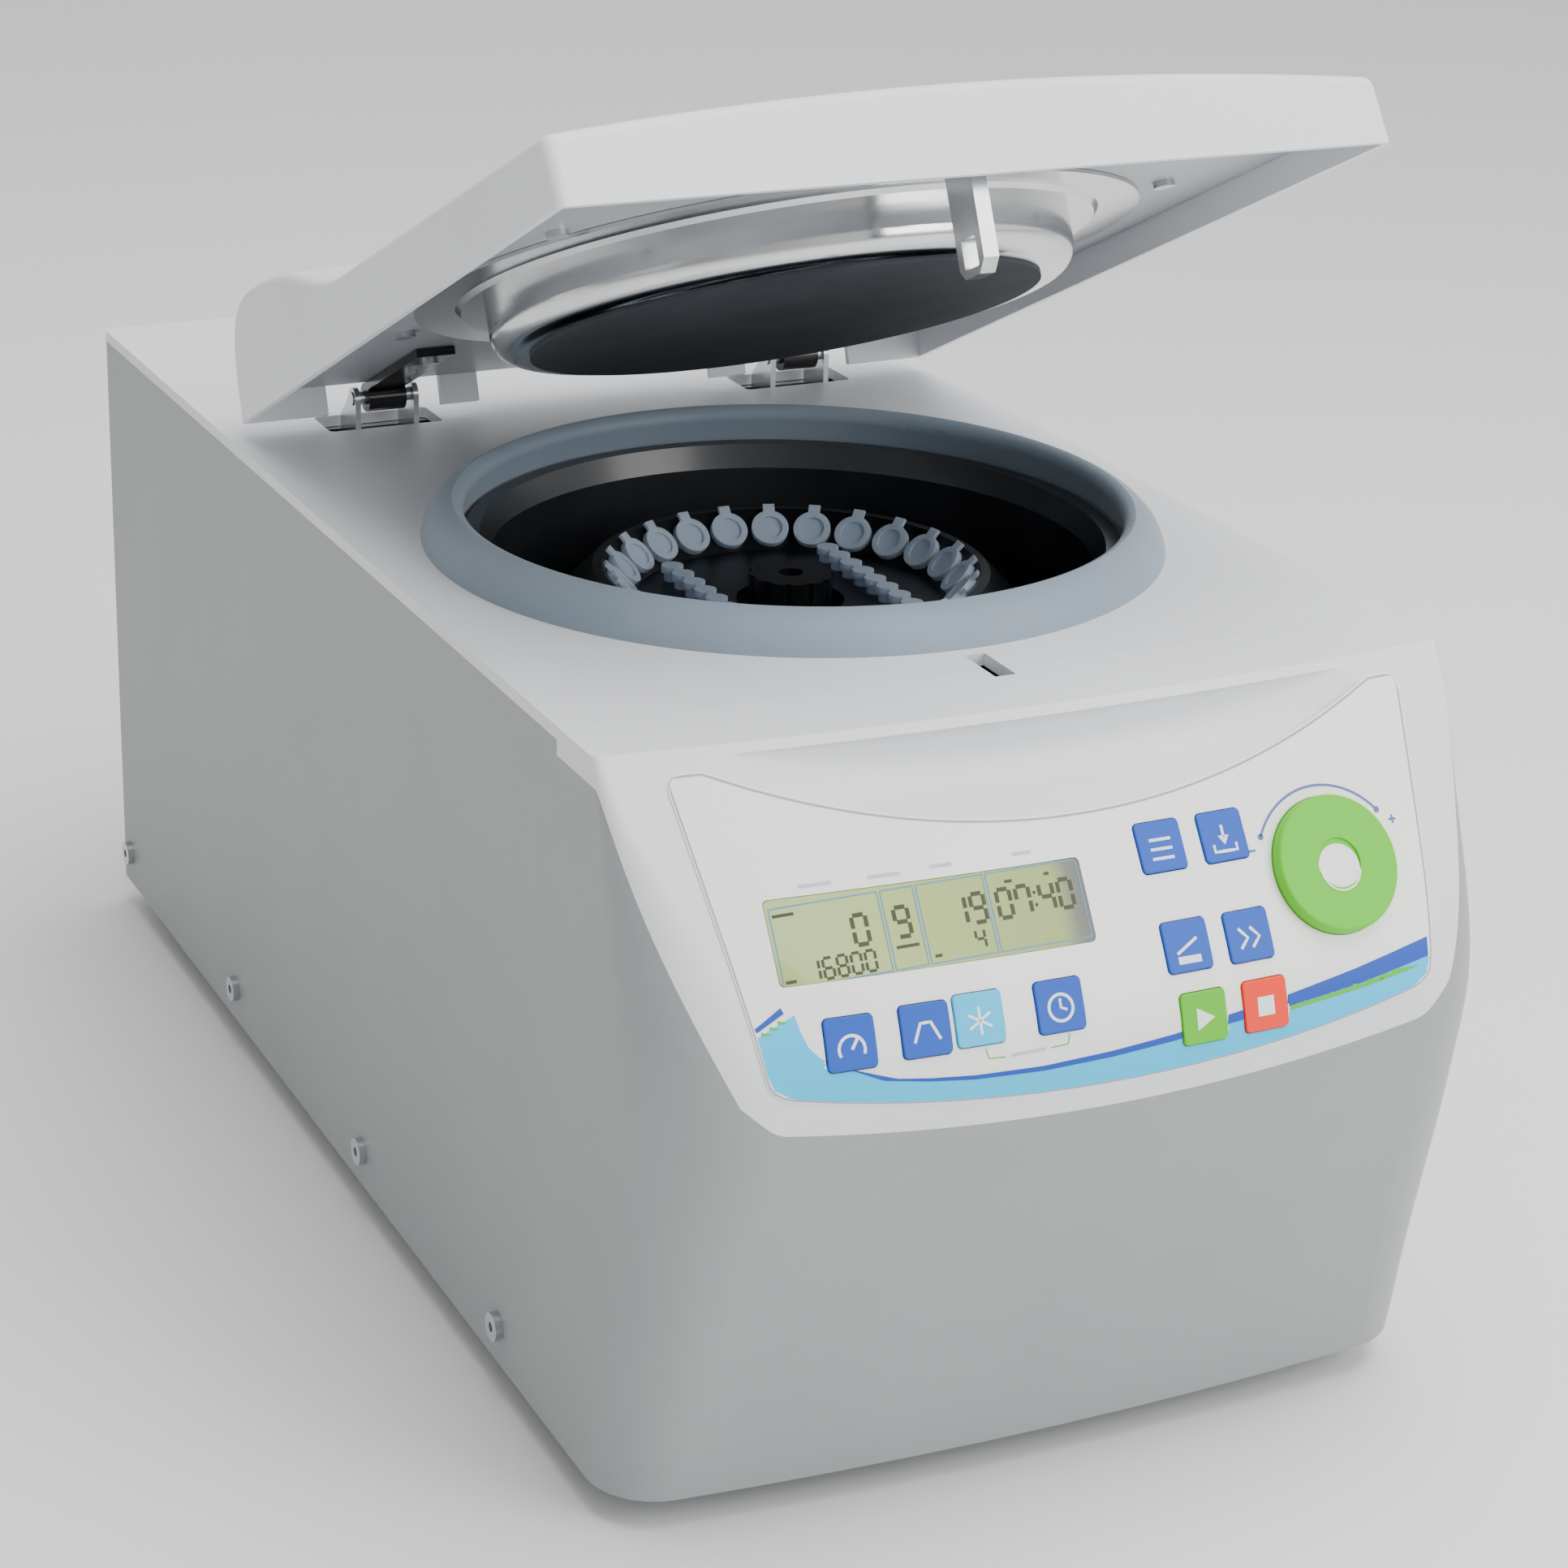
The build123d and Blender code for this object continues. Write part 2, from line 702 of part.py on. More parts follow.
with BuildPart() as insulation:
    with BuildSketch(Plane.XY.offset(bowl_floor - bowl_wall - insulation_floor)):
        with Locations((0, chamber_y)):
            Circle(insulation_outer)
            Circle(bowl_hole + 4, mode=Mode.SUBTRACT)
    extrude(amount=top_under - fit_gap - (bowl_floor - bowl_wall - insulation_floor))
    with BuildSketch(Plane.XY.offset(bowl_floor - bowl_wall)):
        with Locations((0, chamber_y)):
            Circle(insulation_inner)
    extrude(amount=body_top - bowl_floor + 10, mode=Mode.SUBTRACT)
save(insulation, "insulation")

coil_radius = bowl_inner + bowl_wall + coil_tube + 0.4
coil_start = Vector(coil_radius, chamber_y, bowl_floor + 4)
with BuildPart() as evaporator_coil:
    with BuildLine() as winding:
        Helix(pitch=coil_pitch, height=coil_pitch * coil_turns, radius=coil_radius,
              center=(0, chamber_y, coil_start.Z))
    with BuildSketch(Plane(winding.line @ 0, z_dir=winding.line % 0)):
        Circle(coil_tube)
    sweep(is_frenet=True)
save(evaporator_coil, "evaporator_coil")

motor_top = bowl_floor - bowl_wall - insulation_floor - 6
neck_top = bowl_floor - bowl_wall - end_clear
with BuildPart() as motor_body:
    with BuildSketch(chamber_side):
        with BuildLine():
            Polyline(
                (0, motor_bottom), (motor_radius, motor_bottom), (motor_radius, motor_top - 6),
                (motor_radius - 6, motor_top), (motor_neck_radius, motor_top),
                (motor_neck_radius, neck_top), (shaft_radius + shaft_fit, neck_top),
                (shaft_radius + shaft_fit, motor_bottom + bearing_rise), (0, motor_bottom + bearing_rise),
                close=True,
            )
        make_face()
    revolve(axis=chamber_axis)
save(motor_body, "motor_body")

with BuildPart() as shaft_seal:
    with BuildSketch(chamber_side):
        with BuildLine():
            Polyline(
                (bowl_hole - 5, neck_top), (bowl_hole + 3, neck_top), (bowl_hole + 3, bowl_floor - bowl_wall),
                (bowl_hole - 0.2, bowl_floor - bowl_wall),
                (bowl_hole - 0.2, bowl_floor + 1.5), (shaft_radius + 2, bowl_floor + 3),
                (shaft_radius + 2, bowl_floor + 1.5), (bowl_hole - 5, bowl_floor), close=True,
            )
        make_face()
    revolve(axis=chamber_axis)
save(shaft_seal, "shaft_seal")

damper_spots = [(x, chamber_y + y) for x in (-damper_spot, damper_spot) for y in (-damper_spot, damper_spot)]
with BuildPart() as motor_mount:
    with BuildSketch(Plane.XY.offset(motor_bottom - mount_thick)):
        with Locations((0, chamber_y)):
            RectangleRounded(mount_side, mount_side, 12)
        with Locations(*damper_spots):
            Circle(damper_stem + fit_gap, mode=Mode.SUBTRACT)
    extrude(amount=mount_thick)
save(motor_mount, "motor_mount")

pan_floor = foot_height + pan_thick
with BuildPart() as motor_dampers:
    with Locations(*[(x, y, pan_floor) for x, y in damper_spots]):
        Cylinder(damper_radius, motor_bottom - mount_thick - pan_floor, align=stood)
        Cylinder(damper_stem, motor_bottom + damper_rise - pan_floor, align=stood)
save(motor_dampers, "motor_dampers")

# ---- rotor, its tubes and its drive ------------------------------------------
with BuildPart() as motor_shaft:
    with Locations((0, chamber_y, motor_bottom + shaft_rise)):
        Cylinder(shaft_radius, rotor_deck - shaft_shoulder - motor_bottom - shaft_rise,
                 align=stood)
    with Locations((0, chamber_y, rotor_deck - shaft_shoulder)):
        Cylinder(shaft_radius - shaft_step, shaft_stub, align=stood)
save(motor_shaft, "motor_shaft")

tilt = radians(tube_tilt)
seat_radius = tube_circle + cap_thick * cos(tilt)
seat_level = cap_level - cap_thick * sin(tilt)
face_slope = cos(tilt) / sin(tilt)
face_inner = seat_radius - (seat_level - rotor_deck) / face_slope
rim_inner = seat_radius + rotor_rim_reach
rim_level = seat_level + rotor_rim_reach * face_slope
nut_seat = nut_radius + 4
with BuildPart() as rotor:
    with BuildSketch(chamber_side):
        with BuildLine():
            Polyline(
                (shaft_radius + shaft_fit, rotor_bottom - rotor_hub_depth),
                (rotor_hub, rotor_bottom - rotor_hub_depth),
                (rotor_hub + rotor_hub_flare, rotor_bottom),
                (rotor_radius - rotor_belly, rotor_bottom), (rotor_radius, rotor_bottom + rotor_belly_rise),
                (rotor_radius, rotor_bottom + rotor_side_rise), (rim_inner + rotor_rim_width, rim_level),
                (rim_inner, rim_level),
                (face_inner, rotor_deck), (nut_seat, rotor_deck), (nut_seat, rotor_deck - shaft_shoulder),
                (shaft_radius + shaft_fit, rotor_deck - shaft_shoulder), close=True,
            )
        make_face()
    revolve(axis=chamber_axis)
    tube_planes = []
    for index in range(tube_count):
        angle = radians(tube_first_angle + index * 360 / tube_count)
        outward = Vector(cos(angle), sin(angle), 0)
        seat = Vector(0, chamber_y, 0) + outward * tube_circle + Vector(0, 0, cap_level)
        facing = outward * -cos(tilt) + Vector(0, 0, sin(tilt))
        tube_planes.append(Plane(seat, x_dir=Vector(-sin(angle), cos(angle), 0), z_dir=facing))
    with Locations(*[plane.location for plane in tube_planes]):
        Cylinder(cap_radius + tube_gap, cap_thick + tube_gap, align=hung,
                 mode=Mode.SUBTRACT)
        Cylinder(tube_radius + tube_gap, tube_straight + cap_thick + tube_gap,
                 align=hung, mode=Mode.SUBTRACT)
    with Locations(*[plane.offset(-tube_straight - cap_thick).location for plane in tube_planes]):
        Cone(tube_tip_radius + tube_gap, tube_radius + tube_gap, tube_cone + tube_gap,
             align=hung, mode=Mode.SUBTRACT)
    with Locations(*[(x, chamber_y, rotor_deck) for x in (-strip_x, strip_x)]):
        with GridLocations(0, strip_pitch, 1, strip_count):
            Cylinder(strip_tube_radius + tube_gap, strip_tube_length, align=hung,
                     mode=Mode.SUBTRACT)
save(rotor, "rotor")

with BuildPart() as sample_tubes:
    with Locations(*[plane.location for plane in tube_planes]):
        Cylinder(cap_radius, cap_thick, align=hung)
        Cylinder(tube_radius, cap_thick + tube_straight, align=hung)
        with Locations((0, -cap_radius, 0)):
            Box(*cap_tab, align=hung)
        Cylinder(cap_radius - cap_wall, cap_recess, align=hung, mode=Mode.SUBTRACT)
    with Locations(*[plane.offset(-tube_straight - cap_thick).location for plane in tube_planes]):
        Cone(tube_tip_radius, tube_radius, tube_cone, align=hung)
save(sample_tubes, "sample_tubes")

for strip_name, side in (("tube_strip_left", -1), ("tube_strip_right", 1)):
    with BuildPart() as tube_strip:
        with Locations((side * strip_x, chamber_y, rotor_deck + strip_rise)):
            Box(strip_bar[0], strip_pitch * (strip_count - 1) + strip_bar_end, strip_bar[1],
                align=hung)
            with GridLocations(0, strip_pitch, 1, strip_count):
                Cylinder(strip_tube_radius + strip_cap_lip, strip_cap, align=hung)
                Cylinder(strip_tube_radius, strip_rise + strip_body, align=hung)
        with Locations((side * strip_x, chamber_y, rotor_deck - strip_body)):
            with GridLocations(0, strip_pitch, 1, strip_count):
                Cone(strip_tip, strip_tube_radius, strip_cone, align=hung)
    save(tube_strip, strip_name)

with BuildPart() as rotor_nut:
    with BuildSketch(Plane.XY.offset(rotor_deck - nut_foot)):
        with Locations((0, chamber_y)):
            Circle(nut_radius)
            Circle(shaft_radius - shaft_step + shaft_fit, mode=Mode.SUBTRACT)
            with PolarLocations(nut_radius + 0.6, nut_notches):
                Circle(nut_notch_radius, mode=Mode.SUBTRACT)
    extrude(amount=nut_height + nut_foot)
    top_arcs = rotor_nut.edges().group_by(Axis.Z)[-1].filter_by(GeomType.CIRCLE)
    chamfer(top_arcs.sort_by(SortBy.RADIUS)[-1:], 0.4)
save(rotor_nut, "rotor_nut")

# ---- lid lock under the striker slot -----------------------------------------
slot_y = hinge_y + striker_y
bolt_z = hinge_z + striker_bottom + striker_eye + striker_window / 2
with BuildPart() as lock_housing:
    with BuildSketch(Plane.XY.offset(top_under - lock_depth - 0.1)):
        with Locations((0, slot_y)):
            Rectangle(lock_width, lock_length)
    extrude(amount=lock_depth)
    with BuildSketch(Plane.XY.offset(top_under)):
        with Locations((0, slot_y)):
            Rectangle(slot_width + 1, slot_length + 1)
    extrude(amount=-lock_depth + lock_floor, mode=Mode.SUBTRACT)
    with Locations(Location((-lock_width / 2 - 1, slot_y, bolt_z), (0, 90, 0))):
        Cylinder(bolt_radius + bolt_gap, lock_width - 4, align=stood,
                 mode=Mode.SUBTRACT)
save(lock_housing, "lock_housing")

with BuildPart() as lock_bolt:
    with Locations(Location((-slot_width / 2 - bolt_rest, slot_y, bolt_z), (0, 90, 0))):
        Cylinder(bolt_radius, bolt_length, align=hung)
    chamfer(lock_bolt.edges().group_by(Axis.X)[-1], 0.8)
save(lock_bolt, "lock_bolt")

# ---- hinges ------------------------------------------------------------------
ear_front = hinge_y - bracket_front
ear_rear = hinge_y + bracket_rear
tray_level = top_under - bracket_drop
tray_width = 2 * (ear_half_gap + ear_thick)
with BuildPart() as hinge_brackets:
    for side in (-1, 1):
        for ear in (-1, 1):
            inner = side * hinge_x + ear * ear_half_gap - (ear_thick if ear < 0 else 0)
            with BuildSketch(Plane.YZ.offset(inner)):
                with BuildLine():
                    Polyline(
                        (ear_front, hinge_z), (ear_front, tray_level), (ear_rear, tray_level),
                        (ear_rear, body_top + 1), (hinge_y + bracket_front, hinge_z),
                    )
                    ThreePointArc((hinge_y + bracket_front, hinge_z), (hinge_y, hinge_z + bracket_front),
                                  (ear_front, hinge_z))
                make_face()
                with Locations((hinge_y, hinge_z)):
                    Circle(pin_radius, mode=Mode.SUBTRACT)
            extrude(amount=ear_thick)
        with Locations((side * hinge_x, (ear_front + ear_rear) / 2, tray_level)):
            Box(tray_width, ear_rear - ear_front, ear_thick, align=stood)
        with Locations((side * hinge_x, ear_rear, top_under - fit_gap)):
            Box(2 * notch_half + 6, bracket_pad, ear_thick, align=(Align.CENTER, Align.MIN, Align.MAX))
        with Locations((side * hinge_x, ear_rear - 1, tray_level)):
            Box(2 * ear_half_gap, 3, bracket_drop - fit_gap, align=(Align.CENTER, Align.MIN, Align.MIN))
save(hinge_brackets, "hinge_brackets")

with BuildPart() as hinge_pins:
    for side in (-1, 1):
        with Locations(Location((side * hinge_x, hinge_y, hinge_z), (0, 90, 0))):
            Cylinder(pin_radius, 2 * ear_half_gap + 2 * ear_thick + 1)
save(hinge_pins, "hinge_pins")

# ---- lid, drawn about the hinge line and turned to its open rest pose --------
turn = radians(lid_open)
lid_plane = Plane((0, hinge_y, hinge_z), x_dir=(1, 0, 0), z_dir=(0, sin(turn), cos(turn)))
lid_normal = lid_plane.z_dir


def lid_level(level):
    """Plane parallel to the lid rim, level above the hinge line."""
    return lid_plane.offset(level)


def lid_section(x):
    """Plane across the lid at x, whose axes run to the rear and out of the top."""
    return Plane(lid_plane.from_local_coords((x, 0, 0)), x_dir=lid_plane.y_dir, z_dir=lid_plane.x_dir)


def above_rim(edge):
    """Whether the middle of an edge of the lid stands above its rim."""
    return lid_plane.to_local_coords(edge @ 0.5).Z > lid_rim + 1


def lid_form(inset, foot):
    """Solid form of the lid, drawn in by inset, with its lower face foot below the rim."""
    with BuildPart() as form:
        for x, crown in ((inset - lid_half, 0), (0, lid_crown), (lid_half - inset, 0)):
            with BuildSketch(lid_section(x)):
                with BuildLine():
                    rim = lid_rim - foot
                    front = (lid_front + inset, rim)
                    nose = (lid_front + lid_draft + inset, lid_rim + lid_side_height - inset + crown)
                    knee = (chamber_y - hinge_y + 40, lid_rim + lid_flat_height - inset + crown)
                    peak = (lid_rear - 29, lid_rim + lid_hump_height - inset + crown * 0.6)
                    tail = (lid_rear - inset, rim)
                    Line(front, nose)
                    Line(nose, knee)
                    Spline(knee, ((knee[0] + peak[0]) / 2 - 4, (knee[1] + peak[1]) / 2 + 1.5), peak,
                           tangents=((1, 0), (1, 0)))
                    Spline(peak, (lid_rear - 6 - inset, lid_rim + 30 - inset + crown * 0.5), tail,
                           tangents=((1, 0), (0.12, -1)))
                    Line(tail, front)
                make_face()
        loft()
    return form.part


with BuildPart() as lid_shell:
    add(lid_form(0, 0))
    fillet(lid_shell.edges().filter_by(above_rim), lid_round)
    add(lid_form(lid_wall, 1), mode=Mode.SUBTRACT)
    with BuildSketch(Plane(lid_plane.from_local_coords((0, lid_rear - 20, lid_rim)), x_dir=lid_plane.x_dir,
                           z_dir=-lid_plane.y_dir)):
        with Locations((0, 0)):
            Rectangle(2 * open_notch_half, 2 * lid_notch_height)
        with Locations((-hinge_x, 0), (hinge_x, 0)):
            Rectangle(2 * notch_half, 2 * lid_notch_height)
    extrude(amount=-40, mode=Mode.SUBTRACT)
save(lid_shell, "lid_shell")

dish_y = chamber_y - hinge_y
with BuildPart() as lid_inner_plate:
    add(lid_form(lid_wall + fit_gap, 0))
    split(bisect_by=lid_level(inner_plate_level), keep=Keep.TOP)
    split(bisect_by=lid_level(inner_plate_level + inner_plate_thick), keep=Keep.BOTTOM)
    with BuildSketch(lid_level(inner_plate_level)):
        with Locations((0, dish_y)):
            Circle(dish_boss_radius + 4)
        with Locations((0, striker_y)):
            Rectangle(striker_thick + 0.4, striker_length + 0.4)
    extrude(amount=inner_plate_thick + 1, mode=Mode.SUBTRACT)
save(lid_inner_plate, "lid_inner_plate")

dish_origin = lid_plane.from_local_coords((0, dish_y, 0))
dish_axis = Axis(dish_origin, lid_normal)
dish_side = Plane(dish_origin, x_dir=(1, 0, 0), z_dir=-lid_plane.y_dir)
with BuildPart() as lid_dish:
    with BuildSketch(dish_side):
        with BuildLine():
            flange = inner_plate_level - fit_gap
            foot = dish_boss_level + disc_thick
            Line((0, foot), (dish_boss_radius - dish_round, foot))
            RadiusArc((dish_boss_radius - dish_round, foot), (dish_boss_radius, foot + dish_round), -dish_round)
            step = flange - dish_sheet - dish_step
            step_edge = dish_boss_radius + dish_step_width
            Line((dish_boss_radius, foot + dish_round), (dish_boss_radius, step))
            Line((dish_boss_radius, step), (step_edge, step))
            Line((step_edge, step), (step_edge + dish_step, flange - dish_sheet))
            Line((step_edge + dish_step, flange - dish_sheet), (dish_flange_radius, flange - dish_sheet))
            Line((dish_flange_radius, flange - dish_sheet), (dish_flange_radius, flange))
            Line((dish_flange_radius, flange), (dish_boss_radius - dish_sheet, flange))
            Line((dish_boss_radius - dish_sheet, flange), (dish_boss_radius - dish_sheet, foot + dish_round))
            RadiusArc((dish_boss_radius - dish_sheet, foot + dish_round),
                      (dish_boss_radius - dish_round, foot + dish_sheet), dish_round - dish_sheet)
            Line((dish_boss_radius - dish_round, foot + dish_sheet), (0, foot + dish_sheet))
            Line((0, foot + dish_sheet), (0, foot))
        make_face()
    revolve(axis=dish_axis)
save(lid_dish, "lid_dish")

with BuildPart() as lid_disc:
    with BuildSketch(lid_level(dish_boss_level)):
        with Locations((0, dish_y)):
            Circle(disc_radius)
    extrude(amount=disc_thick)
save(lid_disc, "lid_disc")

with BuildPart() as lid_striker:
    with BuildSketch(lid_section(-striker_thick / 2)):
        with BuildLine():
            rear = striker_y + striker_length / 2
            front = striker_y - striker_length / 2
            top = inner_plate_level + inner_plate_thick
            Polyline((rear, top), (rear, striker_bottom + 3), (rear - 3, striker_bottom),
                     (front + 4, striker_bottom),
                     (front, striker_bottom + 4), (front, top), close=True)
        make_face()
        with Locations((striker_y, striker_bottom + striker_eye + striker_window / 2)):
            RectangleRounded(striker_window, striker_window, 1, mode=Mode.SUBTRACT)
    extrude(amount=striker_thick)
    with BuildSketch(lid_level(inner_plate_level + inner_plate_thick)):
        with Locations((0, striker_y)):
            Rectangle(striker_head, striker_length)
    extrude(amount=striker_head_thick)
save(lid_striker, "lid_striker")

with BuildPart() as hinge_leaves:
    for side in (-1, 1):
        with BuildSketch(lid_section(side * hinge_x - leaf_half)):
            with Locations((0, 0)):
                Circle(knuckle_radius)
            with Locations((-leaf_reach / 2, inner_plate_level - fit_gap - leaf_thick / 2)):
                Rectangle(leaf_reach, leaf_thick)
            with Locations((0, 0)):
                Circle(pin_radius + pin_fit, mode=Mode.SUBTRACT)
        extrude(amount=2 * leaf_half)
save(hinge_leaves, "hinge_leaves")

plate_screws = [(x, dish_y + y) for x in (-plate_screw_x, plate_screw_x)
                for y in (-plate_screw_y, plate_screw_y)]
leaf_screws = [(side * hinge_x, -leaf_reach + y) for side in (-1, 1)
               for y in (leaf_screw_near, leaf_screw_far)]
with BuildPart() as lid_screws:
    with BuildSketch(lid_level(inner_plate_level)):
        with Locations(*plate_screws):
            Circle(plate_screw_radius)
    extrude(amount=-2)
    with BuildSketch(lid_level(inner_plate_level - fit_gap - leaf_thick)):
        with Locations(*leaf_screws):
            Circle(leaf_screw_radius)
    extrude(amount=-1.6)
save(lid_screws, "lid_screws")

# ---- refrigeration and cooling air -------------------------------------------
with BuildPart() as compressor:
    with Locations((compressor_x, compressor_y, pan_floor + compressor_lift)):
        Cylinder(compressor_radius, compressor_height, align=stood)
    fillet(compressor.edges().filter_by(GeomType.CIRCLE), compressor_round)
    with Locations((compressor_x, compressor_y, pan_floor + compressor_feet)):
        Box(2 * compressor_radius + 10, 60, 5, align=stood)
    with Locations((compressor_x, compressor_y, pan_floor)):
        with GridLocations(2 * compressor_radius - 6, 40, 2, 2):
            Cylinder(7, compressor_feet, align=stood)
save(compressor, "compressor")

condenser_y = rear_y - skin - rear_plate - 6 - condenser_depth / 2
with BuildPart() as condenser:
    with Locations((fan_x, condenser_y, fan_z)):
        with GridLocations(condenser_pitch, 0, condenser_fins, 1):
            Box(fin_thick, condenser_depth, condenser_height)
        for row in range(condenser_rows):
            level = (row - (condenser_rows - 1) / 2) * condenser_height / condenser_rows
            with Locations(Location((0, 0, level), (0, 90, 0))):
                Cylinder(condenser_tube, condenser_pitch * condenser_fins + 6)
        for side in (-1, 1):
            with Locations((side * (condenser_pitch * condenser_fins / 2 + 2), 0, 0)):
                Box(condenser_cheek, condenser_depth + 4, condenser_height + 4)
save(condenser, "condenser")

fan_y = condenser_y - condenser_depth / 2 - duct_gap - fan_frame_depth
fan_plane = Plane((fan_x, fan_y, fan_z), x_dir=(1, 0, 0), z_dir=(0, 1, 0))
with BuildPart() as fan_shroud:
    with BuildSketch(fan_plane):
        RectangleRounded(2 * fan_radius + fan_margin, 2 * fan_radius + fan_margin, 8)
        Circle(fan_radius + 1.5, mode=Mode.SUBTRACT)
        with GridLocations(2 * fan_radius - 2, 2 * fan_radius - 2, 2, 2):
            Circle(fan_screw, mode=Mode.SUBTRACT)
    extrude(amount=fan_frame_depth)
    with BuildSketch(fan_plane):
        Circle(fan_hub)
        for turn_angle in (0, 60, 120):
            Rectangle(2 * fan_radius + 6, strut_width, rotation=turn_angle)
    extrude(amount=strut_thick)
    with Locations(fan_plane):
        Cylinder(fan_spindle, fan_frame_depth - 6, align=stood)
save(fan_shroud, "fan_shroud")

with BuildPart() as fan_blades:
    with BuildSketch(fan_plane.offset(4)):
        Circle(fan_hub)
        Circle(fan_spindle + shaft_fit, mode=Mode.SUBTRACT)
    extrude(amount=fan_frame_depth - 5)
    with Locations(fan_plane.offset(4 + (fan_frame_depth - 5) / 2)):
        with PolarLocations((fan_hub + fan_radius) / 2 - 0.5, fan_blades_count):
            with Locations(Location((0, 0, 0), (blade_pitch, 0, 0))):
                Box(fan_radius - fan_hub, blade_chord, 1.6)
save(fan_blades, "fan_blades")

with BuildPart() as suction_pipe:
    with BuildLine() as route:
        start = (compressor_x, compressor_y - compressor_radius + 8, pan_floor + compressor_height - 12)
        Polyline(start, (start[0], start[1] - pipe_reach, start[2]),
                 (start[0], start[1] - pipe_reach, coil_start.Z + pipe_rise),
                 (pipe_end_x, coil_exit_y, coil_start.Z + pipe_rise))
    with BuildSketch(Plane(route.line @ 0, z_dir=route.line % 0)):
        Circle(pipe_radius)
    sweep(transition=Transition.ROUND)
save(suction_pipe, "suction_pipe")

# ---- electronics -------------------------------------------------------------
with BuildPart() as power_board:
    with Locations((board_x, board_y, pan_floor + power_board_lift)):
        Box(*power_board_size, board_thick)
        with GridLocations(power_board_size[0] - 10, power_board_size[1] - 10, 2, 2):
            with Locations((0, 0, -board_thick / 2)):
                Cylinder(3, power_board_lift - board_thick / 2, align=hung)
        with Locations((-24, 18, board_thick / 2), (-24, -8, board_thick / 2)):
            Cylinder(*capacitor, align=stood)
        with Locations((14, 14, board_thick / 2)):
            Box(*transformer, align=stood)
        with Locations((10, -26, board_thick / 2)):
            Box(*heat_sink, align=stood)
save(power_board, "power_board")

board_plane = panel_plane(0, control_board_drop).offset(-control_board_depth)
with BuildPart() as control_board:
    with BuildSketch(board_plane):
        RectangleRounded(control_board_width, control_board_height, 3)
        with GridLocations(control_board_width - 10, control_board_height - 10, 2, 2):
            Circle(1.6, mode=Mode.SUBTRACT)
    extrude(amount=-board_thick)
    with BuildSketch(board_plane.offset(-board_thick)):
        with Locations((-40, 0), (10, 8)):
            Rectangle(22, 16)
    extrude(amount=-3)
save(control_board, "control_board")

lcd_plane = panel_plane(lcd_left + lcd_width / 2, (lcd_top_drop + lcd_bottom_drop) / 2)
with BuildPart() as lcd_module:
    with BuildSketch(lcd_plane.offset(-lcd_module_depth)):
        Rectangle(lcd_width + 6, lcd_module_height)
    extrude(amount=-6)
save(lcd_module, "lcd_module")

with BuildPart() as knob_encoder:
    with BuildSketch(knob_plane.offset(-knob_encoder_depth)):
        Rectangle(encoder_side, encoder_side)
        Circle(knob_shaft_radius + shaft_fit, mode=Mode.SUBTRACT)
    extrude(amount=-encoder_depth)
save(knob_encoder, "knob_encoder")
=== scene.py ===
"""Benchtop refrigerated microcentrifuge: finishes, printed panel and fine pieces around the CAD frame."""
import math

import bmesh
import bpy
import numpy as np
from mathutils import Matrix, Vector
from mathutils.bvhtree import BVHTree


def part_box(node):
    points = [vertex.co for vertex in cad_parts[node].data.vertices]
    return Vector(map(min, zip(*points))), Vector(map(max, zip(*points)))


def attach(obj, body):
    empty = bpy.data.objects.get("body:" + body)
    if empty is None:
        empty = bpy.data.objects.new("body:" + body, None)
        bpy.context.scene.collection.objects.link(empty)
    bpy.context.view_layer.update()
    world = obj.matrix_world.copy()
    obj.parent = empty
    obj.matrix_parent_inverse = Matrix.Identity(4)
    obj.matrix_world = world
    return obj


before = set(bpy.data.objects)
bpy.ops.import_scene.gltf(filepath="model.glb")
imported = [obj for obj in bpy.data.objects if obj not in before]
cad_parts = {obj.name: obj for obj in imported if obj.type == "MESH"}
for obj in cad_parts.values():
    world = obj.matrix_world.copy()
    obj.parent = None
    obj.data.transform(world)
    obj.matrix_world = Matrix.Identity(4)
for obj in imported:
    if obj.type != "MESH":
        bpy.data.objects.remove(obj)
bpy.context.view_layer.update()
MM = 0.001
MOTTLE_SPREAD = (0.35, 0.65)  # share of the noise over which a mottle goes from dark to light


# ---- small helpers -----------------------------------------------------------
def srgb(code):
    """Linear colour with alpha from an sRGB hex code."""
    parts = [int(code[i:i + 2], 16) / 255 for i in (0, 2, 4)]
    return [c / 12.92 if c <= 0.04045 else ((c + 0.055) / 1.055) ** 2.4 for c in parts] + [1.0]


def add_node(tree, kind, inputs=(), **settings):
    """Add a node, set its properties, then set or link its inputs by name or number."""
    made = tree.nodes.new(kind)
    for key, value in settings.items():
        setattr(made, key, value)
    for key, value in dict(inputs).items():
        if isinstance(value, bpy.types.NodeSocket):
            tree.links.new(value, made.inputs[key])
        else:
            made.inputs[key].default_value = value
    return made


def material(name, colour, roughness, **sockets):
    """New material with one Principled shader whose uniform values sit on its own sockets."""
    made = bpy.data.materials.new(name)
    made.use_nodes = True
    shader = made.node_tree.nodes["Principled BSDF"]
    shader.inputs["Base Color"].default_value = srgb(colour)
    shader.inputs["Roughness"].default_value = roughness
    for key, value in sockets.items():
        shader.inputs[key.replace("_", " ")].default_value = value
    return made


